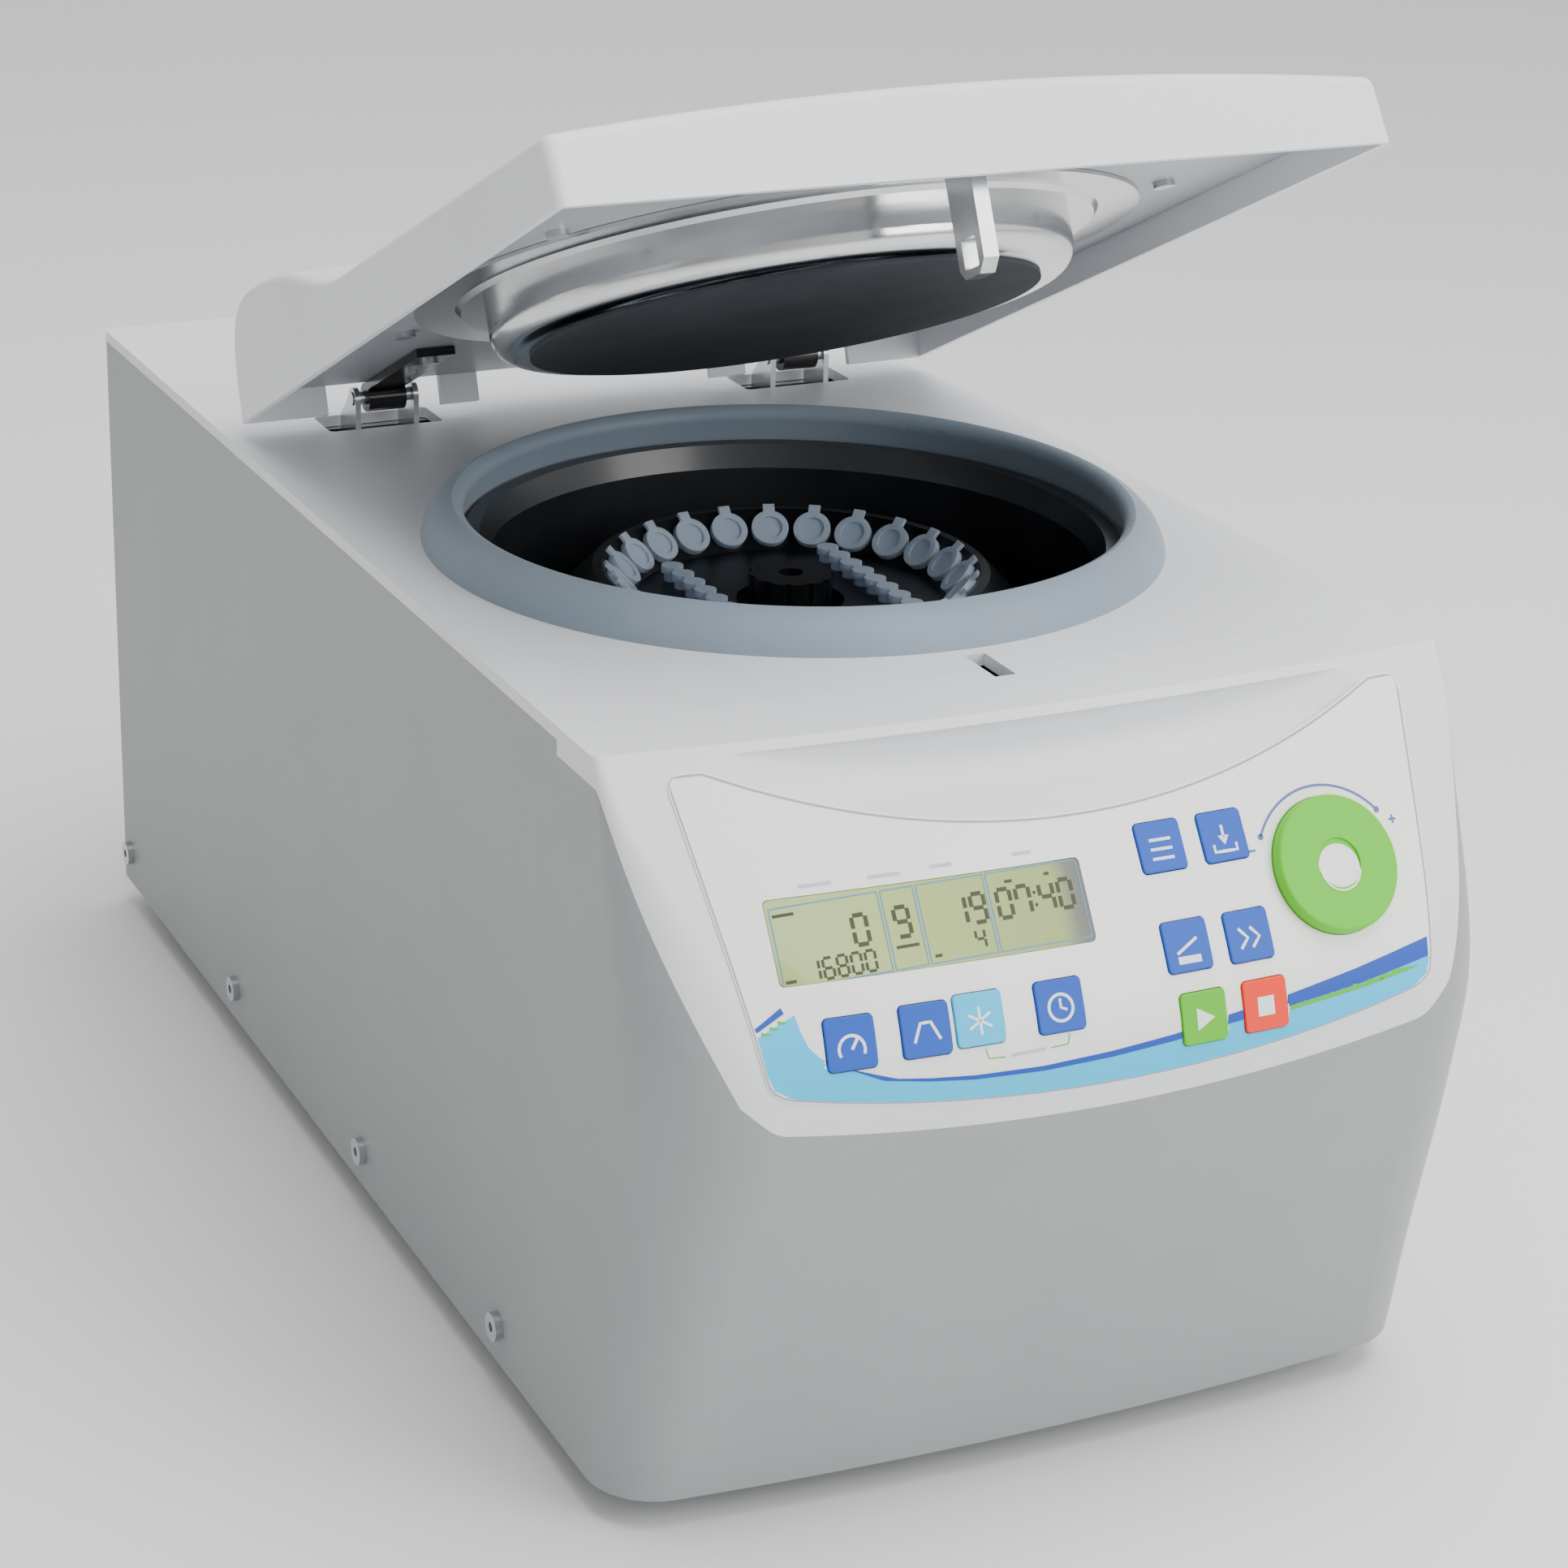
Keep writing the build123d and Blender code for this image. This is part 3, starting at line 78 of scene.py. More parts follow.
def grain(made, size_mm, depth_mm, detail=2.0, stretch=(1, 1, 1)):
    """Bump of soft noise whose lumps are size_mm across and depth_mm deep."""
    tree = made.node_tree
    spot = add_node(tree, "ShaderNodeTexCoord").outputs["Object"]
    where = add_node(tree, "ShaderNodeMapping", {"Vector": spot, "Scale": stretch})
    noise = add_node(tree, "ShaderNodeTexNoise",
                     {"Vector": where.outputs[0], "Scale": 1 / (size_mm * MM), "Detail": detail})
    bump = add_node(tree, "ShaderNodeBump",
                    {"Height": noise.outputs["Fac"], "Distance": depth_mm * MM, "Strength": 1.0})
    tree.links.new(bump.outputs[0], tree.nodes["Principled BSDF"].inputs["Normal"])


def mottle(made, dark, light, size_mm):
    """Slow change between two colours, as uneven as a real finish."""
    tree = made.node_tree
    spot = add_node(tree, "ShaderNodeTexCoord").outputs["Object"]
    noise = add_node(tree, "ShaderNodeTexNoise",
                     {"Vector": spot, "Scale": 1 / (size_mm * MM), "Detail": 3.0})
    ramp = add_node(tree, "ShaderNodeValToRGB", {"Fac": noise.outputs["Fac"]})
    for stop, where, colour in zip(ramp.color_ramp.elements, MOTTLE_SPREAD, (dark, light)):
        stop.position = where
        stop.color = srgb(colour)
    tree.links.new(ramp.outputs[0], tree.nodes["Principled BSDF"].inputs["Base Color"])


# ---- finishes ----------------------------------------------------------------
# Powder-coated sheet steel: a fine orange-peel that softens the reflections on the grey sides.
steel_enamel = material("grey_powder_coat", "989C9D", 0.42)
grain(steel_enamel, 1.4, 0.02)
mottle(steel_enamel, "979B9C", "9A9E9F", 60)

# Moulded ABS of the console, top cover and lid: pale, with a spark-eroded texture.
abs_pale = material("pale_moulded_abs", "E6E8EB", 0.46, IOR=1.53)
grain(abs_pale, 0.7, 0.012)
mottle(abs_pale, "E4E6E9", "E8EAED", 80)

# The inside of the lid: the same ABS, a little greyer and duller where it is not polished.
abs_inside = material("grey_inner_abs", "A9ADB3", 0.4, IOR=1.53)
grain(abs_inside, 0.9, 0.02)
mottle(abs_inside, "A6AAB0", "ADB1B7", 50)

# Polyester overlay film: smooth, slightly glossy, warm white.
film = material("polyester_overlay_film", "F6F6F3", 0.33, IOR=1.6)
grain(film, 0.5, 0.003)
mottle(film, "F5F5F2", "F7F7F4", 40)

# Silicone lid seal: blue-grey, satin, with a faint bloom.
silicone = material("blue_grey_silicone", "8796A3", 0.5, IOR=1.41, Sheen_Weight=0.15)
grain(silicone, 1.2, 0.015)
mottle(silicone, "8594A1", "8A99A6", 35)

# Deep-drawn stainless steel, polished: near-mirror with fine drawing marks.
stainless = material("polished_stainless_steel", "D2D3D4", 0.16, Metallic=1.0)
grain(stainless, 0.6, 0.0025, stretch=(1, 12, 12))
mottle(stainless, "CDCECF", "D6D7D8", 25)

# Bright zinc-plated steel of screws, pins and brackets.
bright_steel = material("zinc_plated_steel", "C6C8CA", 0.27, Metallic=1.0)
grain(bright_steel, 0.5, 0.006)
mottle(bright_steel, "BFC1C3", "CBCDCF", 8)

# Black coated chamber bowl: a smooth dark lacquer that still shows the rim light.
chamber_black = material("black_chamber_lacquer", "15171A", 0.34, Coat_Weight=0.3, Coat_Roughness=0.2)
grain(chamber_black, 2.0, 0.012)
mottle(chamber_black, "1B1D21", "25282D", 30)

# Black hard-anodised aluminium rotor: dark and silky from fine turning.
anodised_black = material("black_hard_anodised_aluminium", "17181B", 0.36, Metallic=0.6)
grain(anodised_black, 0.5, 0.005)
mottle(anodised_black, "141518", "1C1D20", 20)

# Natural polypropylene tubes: milky, with light passing into the wall.
polypropylene = material("natural_polypropylene", "C8D9EE", 0.28, IOR=1.49, Subsurface_Weight=0.5,
                         Subsurface_Scale=0.004, Transmission_Weight=0.35)
polypropylene.node_tree.nodes["Principled BSDF"].inputs["Subsurface Radius"].default_value = (0.9, 1.0, 1.1)
grain(polypropylene, 1.5, 0.008)

# Closed-cell foam disc glued under the lid: charcoal, matte and slightly cellular.
foam_charcoal = material("charcoal_foam", "33373D", 0.8)
grain(foam_charcoal, 1.0, 0.08)
mottle(foam_charcoal, "2F3339", "383C42", 30)

# Black ABS of the lock, inlet, switch and fan: dark, with a fine spark-eroded grain.
black_abs = material("black_moulded_abs", "1B1B1D", 0.45, IOR=1.53)
grain(black_abs, 0.8, 0.012)
mottle(black_abs, "191A1C", "202123", 30)

# Nitrile rubber of feet, seal and dampers: matte black, a little uneven.
foot_rubber = material("black_foot_rubber", "1C1C1C", 0.75)
grain(foot_rubber, 1.0, 0.04)
mottle(foot_rubber, "191919", "212121", 15)

# Galvanised sheet of the pan and the motor mount: dull metal with soft spangle.
zinc_sheet = material("galvanised_sheet", "9A9EA1", 0.4, Metallic=0.9)
grain(zinc_sheet, 3.0, 0.01)
mottle(zinc_sheet, "8F9396", "A4A8AB", 14)

# Drawn copper refrigerant pipe: warm metal, slightly tarnished in patches.
copper_tube = material("drawn_copper_tube", "B8734A", 0.28, Metallic=1.0)
grain(copper_tube, 0.8, 0.008)
mottle(copper_tube, "A9663F", "C07C52", 20)

# Cast aluminium of the motor housing and the condenser: pale, rough-skinned metal.
cast_alloy = material("cast_aluminium", "B4B6B8", 0.48, Metallic=0.9)
grain(cast_alloy, 1.2, 0.06)
mottle(cast_alloy, "ABADAF", "BBBDBF", 18)

# Circuit boards: green solder mask with a satin shine.
solder_mask = material("green_solder_mask", "1F5A34", 0.35, IOR=1.55)
grain(solder_mask, 0.8, 0.01)
mottle(solder_mask, "1B5230", "246339", 12)

# Polyurethane foam round the bowl: cream, matte and coarse.
insulating_foam = material("cream_insulating_foam", "D9CFA9", 0.85)
grain(insulating_foam, 1.5, 0.15)
mottle(insulating_foam, "D3C8A0", "DFD6B3", 25)

# Glossy black enamel of the compressor and the hinge leaves: sharp highlights on a dark coat.
gloss_enamel_black = material("black_gloss_enamel", "121214", 0.2)
grain(gloss_enamel_black, 3.0, 0.02)
mottle(gloss_enamel_black, "101012", "161618", 30)


def key_film(name, colour):
    """Printed polyester key face: even ink under a satin film."""
    made = material(name, colour, 0.5, IOR=1.45)
    grain(made, 0.6, 0.004)
    return made


INK_BLUE = "1050BC"
key_blue = key_film("blue_key_film", INK_BLUE)
key_cyan = key_film("cyan_key_film", "18C4F6")
key_green = key_film("green_key_film", "58C40A")
key_red = key_film("red_key_film", "FA3508")
knob_green = key_film("green_knob_film", "5CC80C")
ink_blue = key_film("blue_ink", "1048B4")
ink_cyan = key_film("cyan_ink", "12C6F8")
ink_green = key_film("green_ink", "4FBF2A")
ink_white = key_film("white_ink", "F4F7FA")
ink_grey = key_film("grey_ink", "A9A7B4")
ink_pale = key_film("pale_blue_ink", "BFC8DA")
ink_navy = key_film("navy_ink", "5C6CA8")
segment_ink = key_film("display_segment", "3C4424")
cell_ink = key_film("display_cell_line", "5C93B4")
knob_hub = key_film("white_knob_hub", "F7F7F6")

# The display: a backlit liquid-crystal cell, lighter and greyer at the left, greener at the right, with a
# painted shadow darkening its right edge.
display = material("liquid_crystal_window", "B4C45A", 0.12, IOR=1.5, Coat_Weight=0.5)
low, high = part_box("lcd_window")
tree = display.node_tree
split = add_node(tree, "ShaderNodeSeparateXYZ", {0: add_node(tree, "ShaderNodeTexCoord").outputs["Object"]})
across = add_node(tree, "ShaderNodeMapRange",
                  {"Value": split.outputs["X"], "From Min": low[0], "From Max": high[0]})
shade = add_node(tree, "ShaderNodeValToRGB", {"Fac": across.outputs[0]})
# the last two stops are painted shadow, darkening the window towards its right edge
DISPLAY_TINT_AND_EDGE_SHADOW = ((0.0, "A2B266"), (0.45, "93A82E"), (0.90, "7D9418"), (0.955, "39401A"), (1.0, "101208"))
for ramp_place, colour in DISPLAY_TINT_AND_EDGE_SHADOW:
    stop = shade.color_ramp.elements[-1 if ramp_place else 0]
    if 0 < ramp_place < 1:
        stop = shade.color_ramp.elements.new(ramp_place)
    stop.color = srgb(colour)
tree.links.new(shade.outputs[0], tree.nodes["Principled BSDF"].inputs["Base Color"])
grain(display, 0.4, 0.001)

finishes = {
    steel_enamel: ["casing", "rear_panel"],
    abs_pale: ["top_cover", "console_frame", "lid_shell"],
    abs_inside: ["lid_inner_plate"],
    film: ["panel_overlay"],
    silicone: ["gasket_ring"],
    stainless: ["lid_dish"],
    bright_steel: ["side_screws", "hinge_brackets", "hinge_pins", "lid_screws", "lid_striker", "lock_bolt",
                   "motor_shaft"],
    chamber_black: ["chamber_bowl"],
    anodised_black: ["rotor", "rotor_nut"],
    polypropylene: ["sample_tubes", "tube_strip_left", "tube_strip_right"],
    foam_charcoal: ["lid_disc"],
    black_abs: ["lock_housing", "mains_inlet", "switch_bezel", "rocker_switch", "fan_shroud", "fan_blades",
                "knob_encoder"],
    foot_rubber: ["feet", "shaft_seal", "motor_dampers"],
    zinc_sheet: ["base_pan", "motor_mount"],
    copper_tube: ["evaporator_coil", "suction_pipe"],
    cast_alloy: ["motor_body", "condenser"],
    solder_mask: ["control_board", "lcd_module", "power_board"],
    insulating_foam: ["insulation"],
    gloss_enamel_black: ["compressor", "hinge_leaves"],
    display: ["lcd_window"],
    key_blue: ["key_program", "key_save", "key_open", "key_pulse", "key_speed", "key_accel", "key_time"],
    key_cyan: ["key_cooling"],
    key_green: ["key_start"],
    key_red: ["key_stop"],
    knob_green: ["knob"],
}
for finish, names in finishes.items():
    for name in names:
        for material_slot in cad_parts[name].material_slots:
            material_slot.material = finish

# ---- printed graphics and small pieces, laid on the CAD faces ----------------
PRINT_RISE = 0.08 * MM
PRINT_SINK = 0.04 * MM
CAST_FROM = 30 * MM
STEP = 3.0  # widest spacing, in mm, of a print's grid
EDGE_HALVINGS = 8


def tree_of(name):
    """Ray-casting tree of a CAD piece in the shared frame."""
    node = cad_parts[name]
    corners = [node.matrix_world @ v.co for v in node.data.vertices]
    return BVHTree.FromPolygons(corners, [list(p.vertices) for p in node.data.polygons])


def face_plane(name, x=None, z=None):
    """Plane (origin, right, up, out) that touches the front of a piece at x, z or at its middle."""
    low, high = (Vector(c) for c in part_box(name))
    middle = (low + high) / 2
    aim = Vector((middle.x if x is None else x * MM, low.y - CAST_FROM, middle.z if z is None else z * MM))
    hit, out, _, _ = tree_of(name).ray_cast(aim, Vector((0, 1, 0)))
    out = -out if out.y > 0 else out
    right_way = (Vector((1, 0, 0)) - out.x * out).normalized()
    return hit, right_way, out.cross(right_way), out


FRONT = (Vector((0, 0, 0)), Vector((1, 0, 0)), Vector((0, 0, 1)), Vector((0, -1, 0)))
FRONT_REACH = 400 * MM


def path(points, step=STEP):
    """Points of a polyline, in mm, filled in so that none lie further apart than step."""
    filled = [np.array(points[0], float)]
    for start, end in zip(points[:-1], points[1:]):
        start, end = np.array(start, float), np.array(end, float)
        count = max(1, math.ceil(np.linalg.norm(end - start) / step))
        filled += [start + (end - start) * k / count for k in range(1, count + 1)]
    return np.array(filled)


def ribbon(points, width, width_end=None, step=STEP):
    """Grid along a path p(t) with rails p(t) +- w(t)/2 n(t), where n is the path's normal."""
    line = path(points, step)
    along = np.gradient(line, axis=0)
    if np.allclose(line[0], line[-1]):
        along[0] = along[-1] = line[1] - line[-2]
    along /= np.linalg.norm(along, axis=1)[:, None]
    side = np.stack([-along[:, 1], along[:, 0]], axis=1)
    taper = np.linspace(width, width if width_end is None else width_end, len(line))[:, None] / 2
    return np.stack([line - side * taper, line + side * taper], axis=1)


def between(lower, upper, columns=40):
    """Grid p(s, t) = (1 - t) lower(s) + t upper(s) between two polylines of like length."""
    rails = []
    for rail in (np.array(lower, float), np.array(upper, float)):
        run = np.concatenate([[0], np.cumsum(np.linalg.norm(np.diff(rail, axis=0), axis=1))])
        share = np.linspace(0, run[-1], columns)
        rails.append(np.stack([np.interp(share, run, rail[:, i]) for i in (0, 1)], axis=1))
    mix = np.linspace(0, 1, 12)[None, :, None]
    return rails[0][:, None] * (1 - mix) + rails[1][:, None] * mix


def arc(centre, radius, start, end, count=28):
    """Polyline centre + r (cos a, sin a) for a from start to end degrees."""
    angles = np.radians(np.linspace(start, end, count))
    return np.stack([centre[0] + radius * np.cos(angles), centre[1] + radius * np.sin(angles)], axis=1)


def disc(centre, radius):
    """Grid of a round patch: centre + r t (cos a, sin a), t from a pinhole to one."""
    around = arc((0, 0), 1, 0, 360, 49)
    return np.array(centre) + around[:, None] * (np.linspace(0.02, 1, 6) * radius)[None, :, None]


def edge_landing(land, inside, outside, found):
    """Landing closest to the edge of a hole, by halving the way from a landed point to a missed one."""
    for _ in range(EDGE_HALVINGS):
        middle = (inside + outside) / 2
        trial = land(middle)
        if trial[0] is None:
            outside = middle
        else:
            inside, found = middle, trial
    return found


def landings(spots, land, out):
    """(place, normal) on the target for each point of a plane, those over a hole moved to its edge, and a list
    of which points needed no moving; (None, list) where none land."""
    hits = [land(spot) for spot in spots]
    landed = [hit is not None for hit, _ in hits]
    if not any(landed):
        return None, landed
    sure = np.flatnonzero(landed)
    settled = []
    for spot, (hit, normal) in zip(spots, hits):
        if hit is None:
            near = sure[np.argmin(np.linalg.norm(spots[sure] - spot, axis=1))]
            hit, normal = edge_landing(land, spots[near], spot, hits[near])
        settled.append((hit, -normal if normal.dot(out) < 0 else normal))
    return settled, landed


def kept_quads(index, landed):
    """Corner numbers of a grid's faces, without those that miss the target or have shrunk to nothing."""
    quads = []
    for i in range(index.shape[0] - 1):
        for j in range(index.shape[1] - 1):
            quad = [int(k) for k in (index[i, j], index[i, j + 1], index[i + 1, j + 1], index[i + 1, j])]
            if len(set(quad)) == 4 and any(landed[k] for k in quad):
                quads.append(quad)
    return quads


def closed_faces(quads, base, count):
    """Faces of a sheet: its top, its underside count points later, and walls round its open edges."""
    quads = [[base + k for k in quad] for quad in quads]
    edges = {(a, b) for quad in quads for a, b in zip(quad, quad[1:] + quad[:1])}
    walls = [(b, a, a + count, b + count) for a, b in edges if (b, a) not in edges]
    return quads + [[k + count for k in reversed(quad)] for quad in quads] + walls


def printed(name, grids, target, plane, ink, body="housing", rise=PRINT_RISE):
    """Closed thin sheets: each grid g(u, v) on a plane is dropped on the target and given a rise and a sink."""
    origin, right_way, up_way, out = plane
    reach = FRONT_REACH if plane is FRONT else CAST_FROM
    tree = tree_of(target)

    def land(spot):
        """Where a point of the plane falls on the target: (place, normal), or Nones."""
        foot = origin + right_way * (spot[0] * MM) + up_way * (spot[1] * MM)
        return tree.ray_cast(foot + out * reach, -out)[:2]

    points, faces = [], []
    for grid in grids:
        spots, index = np.unique(np.round(grid.reshape(-1, 2), 4), axis=0, return_inverse=True)
        settled, landed = landings(spots, land, out)
        if settled is None:
            continue
        faces += closed_faces(kept_quads(index.reshape(grid.shape[:2]), landed), len(points), len(spots))
        points += [hit + normal * rise for hit, normal in settled]
        points += [hit - normal * PRINT_SINK for hit, normal in settled]
    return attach(sheet(name, points, faces, ink), body)


def sheet(name, points, faces, ink):
    """Object at the origin from points and faces, with its normals turned outward."""
    mesh = bpy.data.meshes.new(name)
    mesh.from_pydata([tuple(p) for p in points], [], faces)
    work = bmesh.new()
    work.from_mesh(mesh)
    bmesh.ops.remove_doubles(work, verts=work.verts, dist=1e-7)
    bmesh.ops.delete(work, geom=[v for v in work.verts if not v.link_faces], context="VERTS")
    bmesh.ops.recalc_face_normals(work, faces=work.faces)
    work.to_mesh(mesh)
    work.free()
    mesh.materials.append(ink)
    made = bpy.data.objects.new(name, mesh)
    bpy.context.scene.collection.objects.link(made)
    return made


# ---- overlay: outline, cyan wave with its blue crest, headings, dial arc ------
def dip(x, inset=0.6):
    """Height of the overlay's hollow top edge at x, drawn in: an arc of radius 301.3 about (0, 516.8)."""
    return 516.8 - math.sqrt((301.3 + inset) ** 2 - x * x)


def sole(x, inset=0.6):
    """Height of the overlay's bottom edge at x, drawn in: an arc of radius 545.5 about (0, 690.6)."""
    return 690.6 + inset - math.sqrt(545.5 ** 2 - x * x)


RIGHT_SIDE = [(110.3, 235.7), (119.0, 235.7), (120.4, 234.0), (109.4, 162.4), (108.7, 159.7), (107.1, 157.6),
              (105.0, 156.3), (102.7, 155.5)]
OUTLINE = ([(-x, y) for x, y in reversed(RIGHT_SIDE)] + [(x, dip(x)) for x in range(-108, 109, 4)] + RIGHT_SIDE
           + [(x, sole(x)) for x in range(100, -101, -4)] + [(-102.7, 155.5)])
CREST_TOP = [(-83.5, 161.2), (-70.8, 157.2), (-61.2, 156), (-47.1, 154.8), (-25.6, 154.2), (-3.5, 155),
             (17.8, 156.5), (36.6, 159), (58.1, 161.3), (82, 164.4), (109, 168.6)]
CREST_LOW = [(-83.6, 160.9), (-75, 157.2), (-61.2, 155.1), (-47.2, 153.6), (-25.6, 152.8), (-3.5, 153.3),
             (17.7, 154.6), (36.4, 156.4), (58, 158), (81.8, 159.9), (108.5, 163.4)]
WAVE_LOW = ([(-110.3, 172.6), (-109.3, 165), (-108.9, 162.4), (-107.2, 158.6), (-102.7, 155.9)]
            + [(x, sole(x, 0.8)) for x in range(-98, 99, 7)] + [(102.7, 155.9), (107.2, 158.6), (108.9, 163)])
WAVE_TOP = [(-98.6, 177), (-97.6, 172.5), (-95.9, 168.4), (-92.7, 165.2), (-83.6, 160.9)] + CREST_LOW[1:]


def low_at(x):
    """Height of the crest's lower edge at x."""
    return float(np.interp(x, [p[0] for p in CREST_LOW], [p[1] for p in CREST_LOW]))


printed("overlay_outline", [ribbon(OUTLINE, 0.55)], "panel_overlay", FRONT, ink_grey)
printed("overlay_wave", [between(WAVE_LOW[:5], WAVE_TOP[:5], 30), between(WAVE_LOW[4:], WAVE_TOP[4:], 280)],
        "panel_overlay", FRONT, ink_cyan)
crest = [between(CREST_LOW, CREST_TOP, 260), ribbon([(-110.5, 174.3), (-101.9, 178.4)], 1.1, 1.6)]
printed("overlay_crest", crest, "panel_overlay", FRONT, ink_blue, rise=2 * PRINT_RISE)
dashes = [ribbon([(x, low_at(x) - 0.4), (x + 5, low_at(x) - 0.5), (x + 9.5, low_at(x) - 0.2)], 1.7, 0.3, 2.0)
          for x in np.arange(56, 98, 4.8)]
dashes += [ribbon([(x, 172.9 + 0.45 * (x + 110)), (x + 2.6, 172.5 + 0.45 * (x + 110))], 0.9, 0.3, 1.0)
           for x in (-109, -106.4, -103.8)]
printed("overlay_dashes", dashes, "panel_overlay", FRONT, ink_green, rise=2 * PRINT_RISE)
headings = [ribbon([(x - w / 2, z), (x + w / 2, z)], 0.9, step=2.0)
            for x, z, w in ((-84.8, 206.9, 10), (-63.6, 207.0, 10), (-46.1, 207.5, 7), (-20.2, 207.6, 6))]
headings.append(ribbon([(-35.5, 158.7), (-24.5, 158.9)], 1.0, step=2.0))
printed("overlay_headings", headings, "panel_overlay", FRONT, ink_pale)
bracket = [ribbon(rail, 0.35, step=2.0) for rail in (
    [(-43.2, 161.5), (-42.6, 158.8), (-37.2, 158.5)], [(-22.9, 158.9), (-17.3, 159.2), (-16.6, 161.9)])]
printed("overlay_bracket", bracket, "panel_overlay", FRONT, ink_green)
dial = face_plane("knob")
DIAL_ARC = 25.8
ends = [arc((0, 0), DIAL_ARC, a, a + 1, 2)[0] for a in (150, 38)]
marks = [ribbon(arc((0, 0), DIAL_ARC, 150, 38), 0.8)] + [disc(end, 1.0) for end in ends]
marks += [ribbon([(-27.6, 9.2), (-25.2, 9.2)], 0.7), ribbon([(23.8, 12.4), (26.4, 12.4)], 0.7),
          ribbon([(25.1, 11.1), (25.1, 13.7)], 0.7)]
printed("dial_marks", marks, "panel_overlay", dial, ink_navy)
printed("knob_hub", [disc((0, 0), 7.2)], "knob", dial, knob_hub, "knob", rise=3 * PRINT_RISE)

# ---- display: cells and seven-segment figures --------------------------------
SEGMENTS = {"0": "abcdef", "1": "bc", "4": "bcfg", "6": "acdefg", "7": "abcf", "8": "abcdefg", "9": "abcdfg"}
SHARES = (0, 0.35, 0.464, 0.69, 1.0)


def figure(sign, left, foot, height):
    """Ribbons of one seven-segment figure whose lower left corner is at left, foot."""
    wide, half, gap = height * 0.5, height / 2, height * 0.06
    ends = {"a": ((0, 2), (1, 2)), "b": ((1, 2), (1, 1)), "c": ((1, 1), (1, 0)), "d": ((0, 0), (1, 0)),
            "e": ((0, 1), (0, 0)), "f": ((0, 2), (0, 1)), "g": ((0, 1), (1, 1))}
    strokes = []
    for letter in SEGMENTS[sign]:
        start, end = (np.array([left + p[0] * wide, foot + p[1] * half]) for p in ends[letter])
        along = (end - start) / np.linalg.norm(end - start)
        strokes.append(ribbon([start + along * gap, end - along * gap], height * 0.15))
    return strokes


screen = face_plane("lcd_window")
low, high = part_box("lcd_window")
half_wide = (high[0] - low[0]) / 2 / MM - 0.6
half_high = half_wide * 0.235
cells = []
for start, end in zip(SHARES[:-1], SHARES[1:]):
    left_x, right_x = (-half_wide + 2 * half_wide * share for share in (start, end))
    corners = [(left_x + 0.5, -half_high), (right_x - 0.5, -half_high), (right_x - 0.5, half_high),
               (left_x + 0.5, half_high)]
    cells += [ribbon([a, b], 0.4) for a, b in zip(corners, corners[1:] + corners[:1])]
printed("display_cells", cells, "lcd_window", screen, cell_ink)
strokes = []
for text, left, foot, height in (("0", -24.2, -2.6, 8.4), ("16800", -39.6, -10.4, 5.8), ("9", -11.3, -2.4, 8.4),
                                 ("19", 6.6, -2.0, 8.2), ("4", 12.0, -9.4, 5.4), ("07", 21.0, -2.0, 8.2),
                                 ("40", 34.6, -2.0, 8.2)):
    for place_in_text, sign in enumerate(text):
        strokes += figure(sign, left + place_in_text * height * 0.74, foot, height)
strokes += [ribbon([(x, y), (x + w, y)], 0.9) for x, y, w in (
    (-47.2, 9.2, 6.5), (-47.2, -9.6, 3.2), (-12.6, -5.2, 7.0), (-1.6, -9.4, 2.2),
    (24.4, 8.2, 2.4), (37.2, 8.6, 1.6))]
strokes += [disc((32.9, y), 0.5) for y in (0.2, 3.8)]
printed("display_figures", strokes, "lcd_window", screen, segment_ink)

# ---- plain white signs on the keys -------------------------------------------
line = 0.9
icons = {
    "key_program": [ribbon([(-3.6, y), (3.6, y)], line) for y in (-2.8, 0, 2.8)],
    "key_save": [ribbon([(0, 4), (0, 0)], line), ribbon([(0, 0.9), (0, -1.9)], 3.6, 0.05),
                 ribbon([(-3.8, -1.6), (-3.8, -3.8), (3.8, -3.8), (3.8, -1.6)], line)],
    "key_open": [ribbon([(-3.8, -3.4), (3.8, -3.4)], 2.2), ribbon([(-3.8, -1.4), (3.4, 2.6)], line)],
    "key_pulse": [ribbon([(x - 1.6, 3), (x + 1.2, 0), (x - 1.6, -3)], line) for x in (-1.8, 2.2)],
    "key_start": [ribbon([(-2.6, 0), (3.4, 0)], 6.6, 0.05)],
    "key_stop": [ribbon([(-2.8, 0), (2.8, 0)], 5.6)],
    "key_speed": [ribbon(arc((0, -1.2), 3.9, 205, -25), line), ribbon([(0, -1.2), (2.0, 1.6)], line)],
    "key_accel": [ribbon([(-4, -2.6), (-1.6, 2.6), (1.6, 2.6), (4, -2.6)], line)],
    "key_cooling": [ribbon([(-4 * math.cos(a), -4 * math.sin(a)), (4 * math.cos(a), 4 * math.sin(a))], 0.8)
                    for a in np.radians((30, 90, 150))],
    "key_time": [ribbon(arc((0, 0), 3.8, 0, 360, 40), line), ribbon([(0, 2.6), (0, 0), (1.9, -0.8)], 0.8)],
}
for key, grids in icons.items():
    printed(f"{key}_sign", grids, key, face_plane(key), ink_white, key)

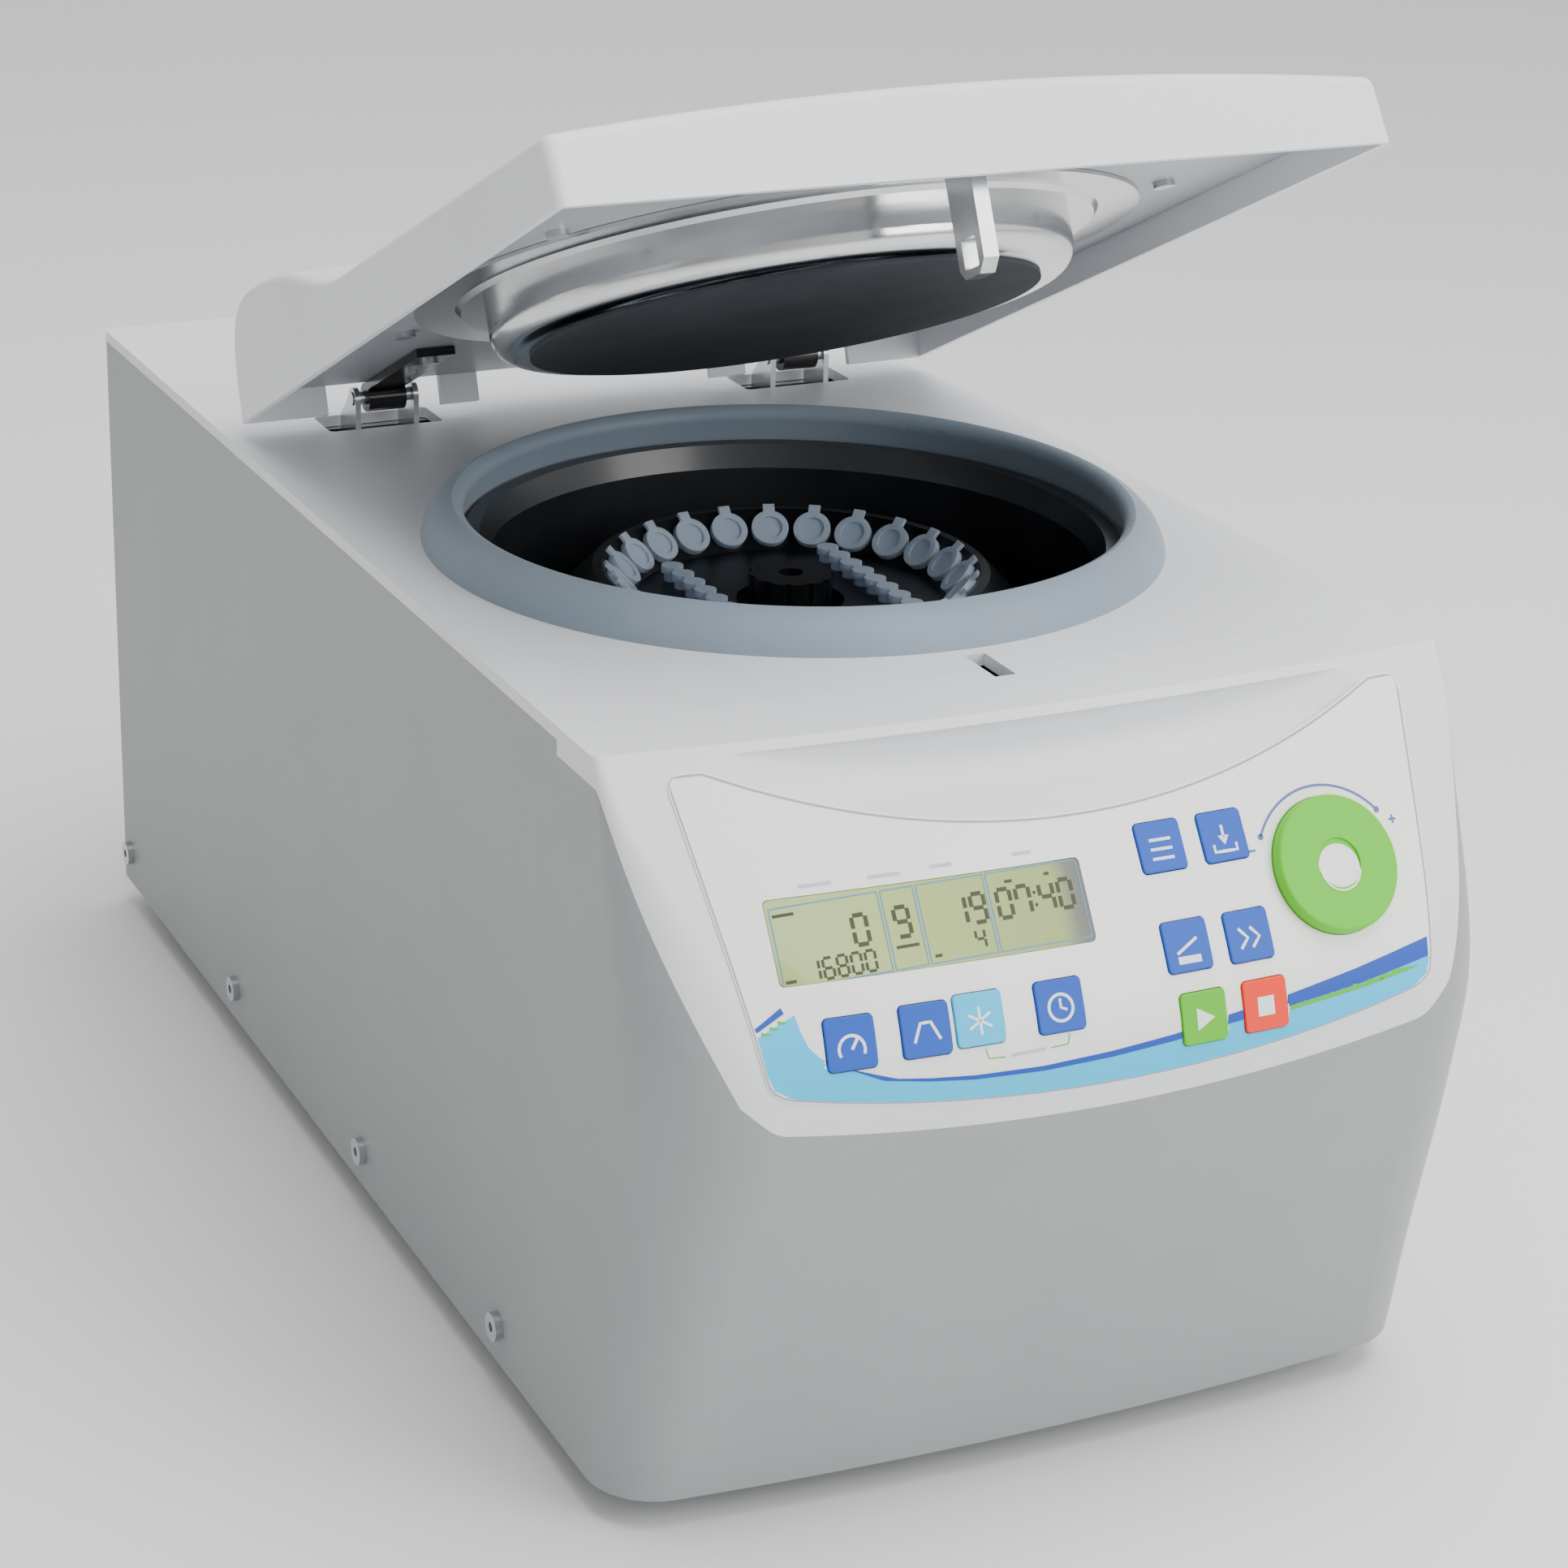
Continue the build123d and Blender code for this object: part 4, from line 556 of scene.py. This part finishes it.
# ---- camera, light and floor -------------------------------------------------
CAMERA_ANGLES = (-24.241, 20.739, 1.129)  # azimuth, elevation and roll in degrees
CAMERA_PLACE = (-0.5116, -1.1034, 0.613)
azimuth, elevation, roll = (math.radians(angle) for angle in CAMERA_ANGLES)
back = Vector((math.sin(azimuth) * math.cos(elevation), -math.cos(azimuth) * math.cos(elevation),
               math.sin(elevation)))
right = (-back).cross(Vector((0, 0, 1))).normalized()
up = right.cross(-back)
right, up = (math.cos(roll) * right + math.sin(roll) * up, math.cos(roll) * up - math.sin(roll) * right)
camera = bpy.data.objects.new("camera", bpy.data.cameras.new("camera"))
bpy.context.scene.collection.objects.link(camera)
camera.matrix_world = Matrix.Translation(CAMERA_PLACE) @ Matrix((right, up, back)).transposed().to_4x4()
camera.data.sensor_width = 36
camera.data.lens = 85.14
camera.data.shift_x = 0.0662
camera.data.shift_y = -0.0327
bpy.context.scene.camera = camera

world = bpy.data.worlds.new("soft_room")
bpy.context.scene.world = world
world.use_nodes = True
world.node_tree.nodes["Background"].inputs["Color"].default_value = srgb("FFFFFF")
LEFT_LIGHT = 0.35
RIGHT_LIGHT = 1.25
# the room is brighter on the right, which leaves the left side of the casing in soft shade
way = add_node(world.node_tree, "ShaderNodeSeparateXYZ",
               {0: add_node(world.node_tree, "ShaderNodeTexCoord").outputs[0]})
brightness = add_node(world.node_tree, "ShaderNodeMapRange",
                      {"Value": way.outputs["X"], "From Min": -1.0, "From Max": 1.0,
                       "To Min": LEFT_LIGHT, "To Max": RIGHT_LIGHT})
world.node_tree.links.new(brightness.outputs[0], world.node_tree.nodes["Background"].inputs["Strength"])
# (name, place, what it faces, width in metres, watts)
LAMPS = (
    ("soft_top", (0.25, -0.3, 1.9), (0, 0, 0.2), 1.6, 34),
    ("front_right", (1.1, -1.7, 1.1), (0.02, -0.1, 0.2), 1.2, 22),
    ("left_fill", (-1.9, -0.4, 0.9), (0, 0, 0.15), 1.2, 1.5),
)
for name, spot, aim, size, power in LAMPS:
    lamp = bpy.data.objects.new(name, bpy.data.lights.new(name, "AREA"))
    bpy.context.scene.collection.objects.link(lamp)
    lamp.data.size = size
    lamp.data.energy = power
    lamp.location = spot
    lamp.rotation_euler = (Vector(aim) - Vector(spot)).to_track_quat("-Z", "Y").to_euler()

floor_mesh = bpy.data.meshes.new("floor")
FLOOR_REACH = 6.0
corners = [(x * FLOOR_REACH, y * FLOOR_REACH, 0) for x, y in ((-1, -1), (1, -1), (1, 1), (-1, 1))]
floor_mesh.from_pydata(corners, [], [(0, 1, 2, 3)])
floor = bpy.data.objects.new("floor", floor_mesh)
bpy.context.scene.collection.objects.link(floor)
floor_mesh.materials.append(material("pale_floor", "F4F4F4", 0.7))
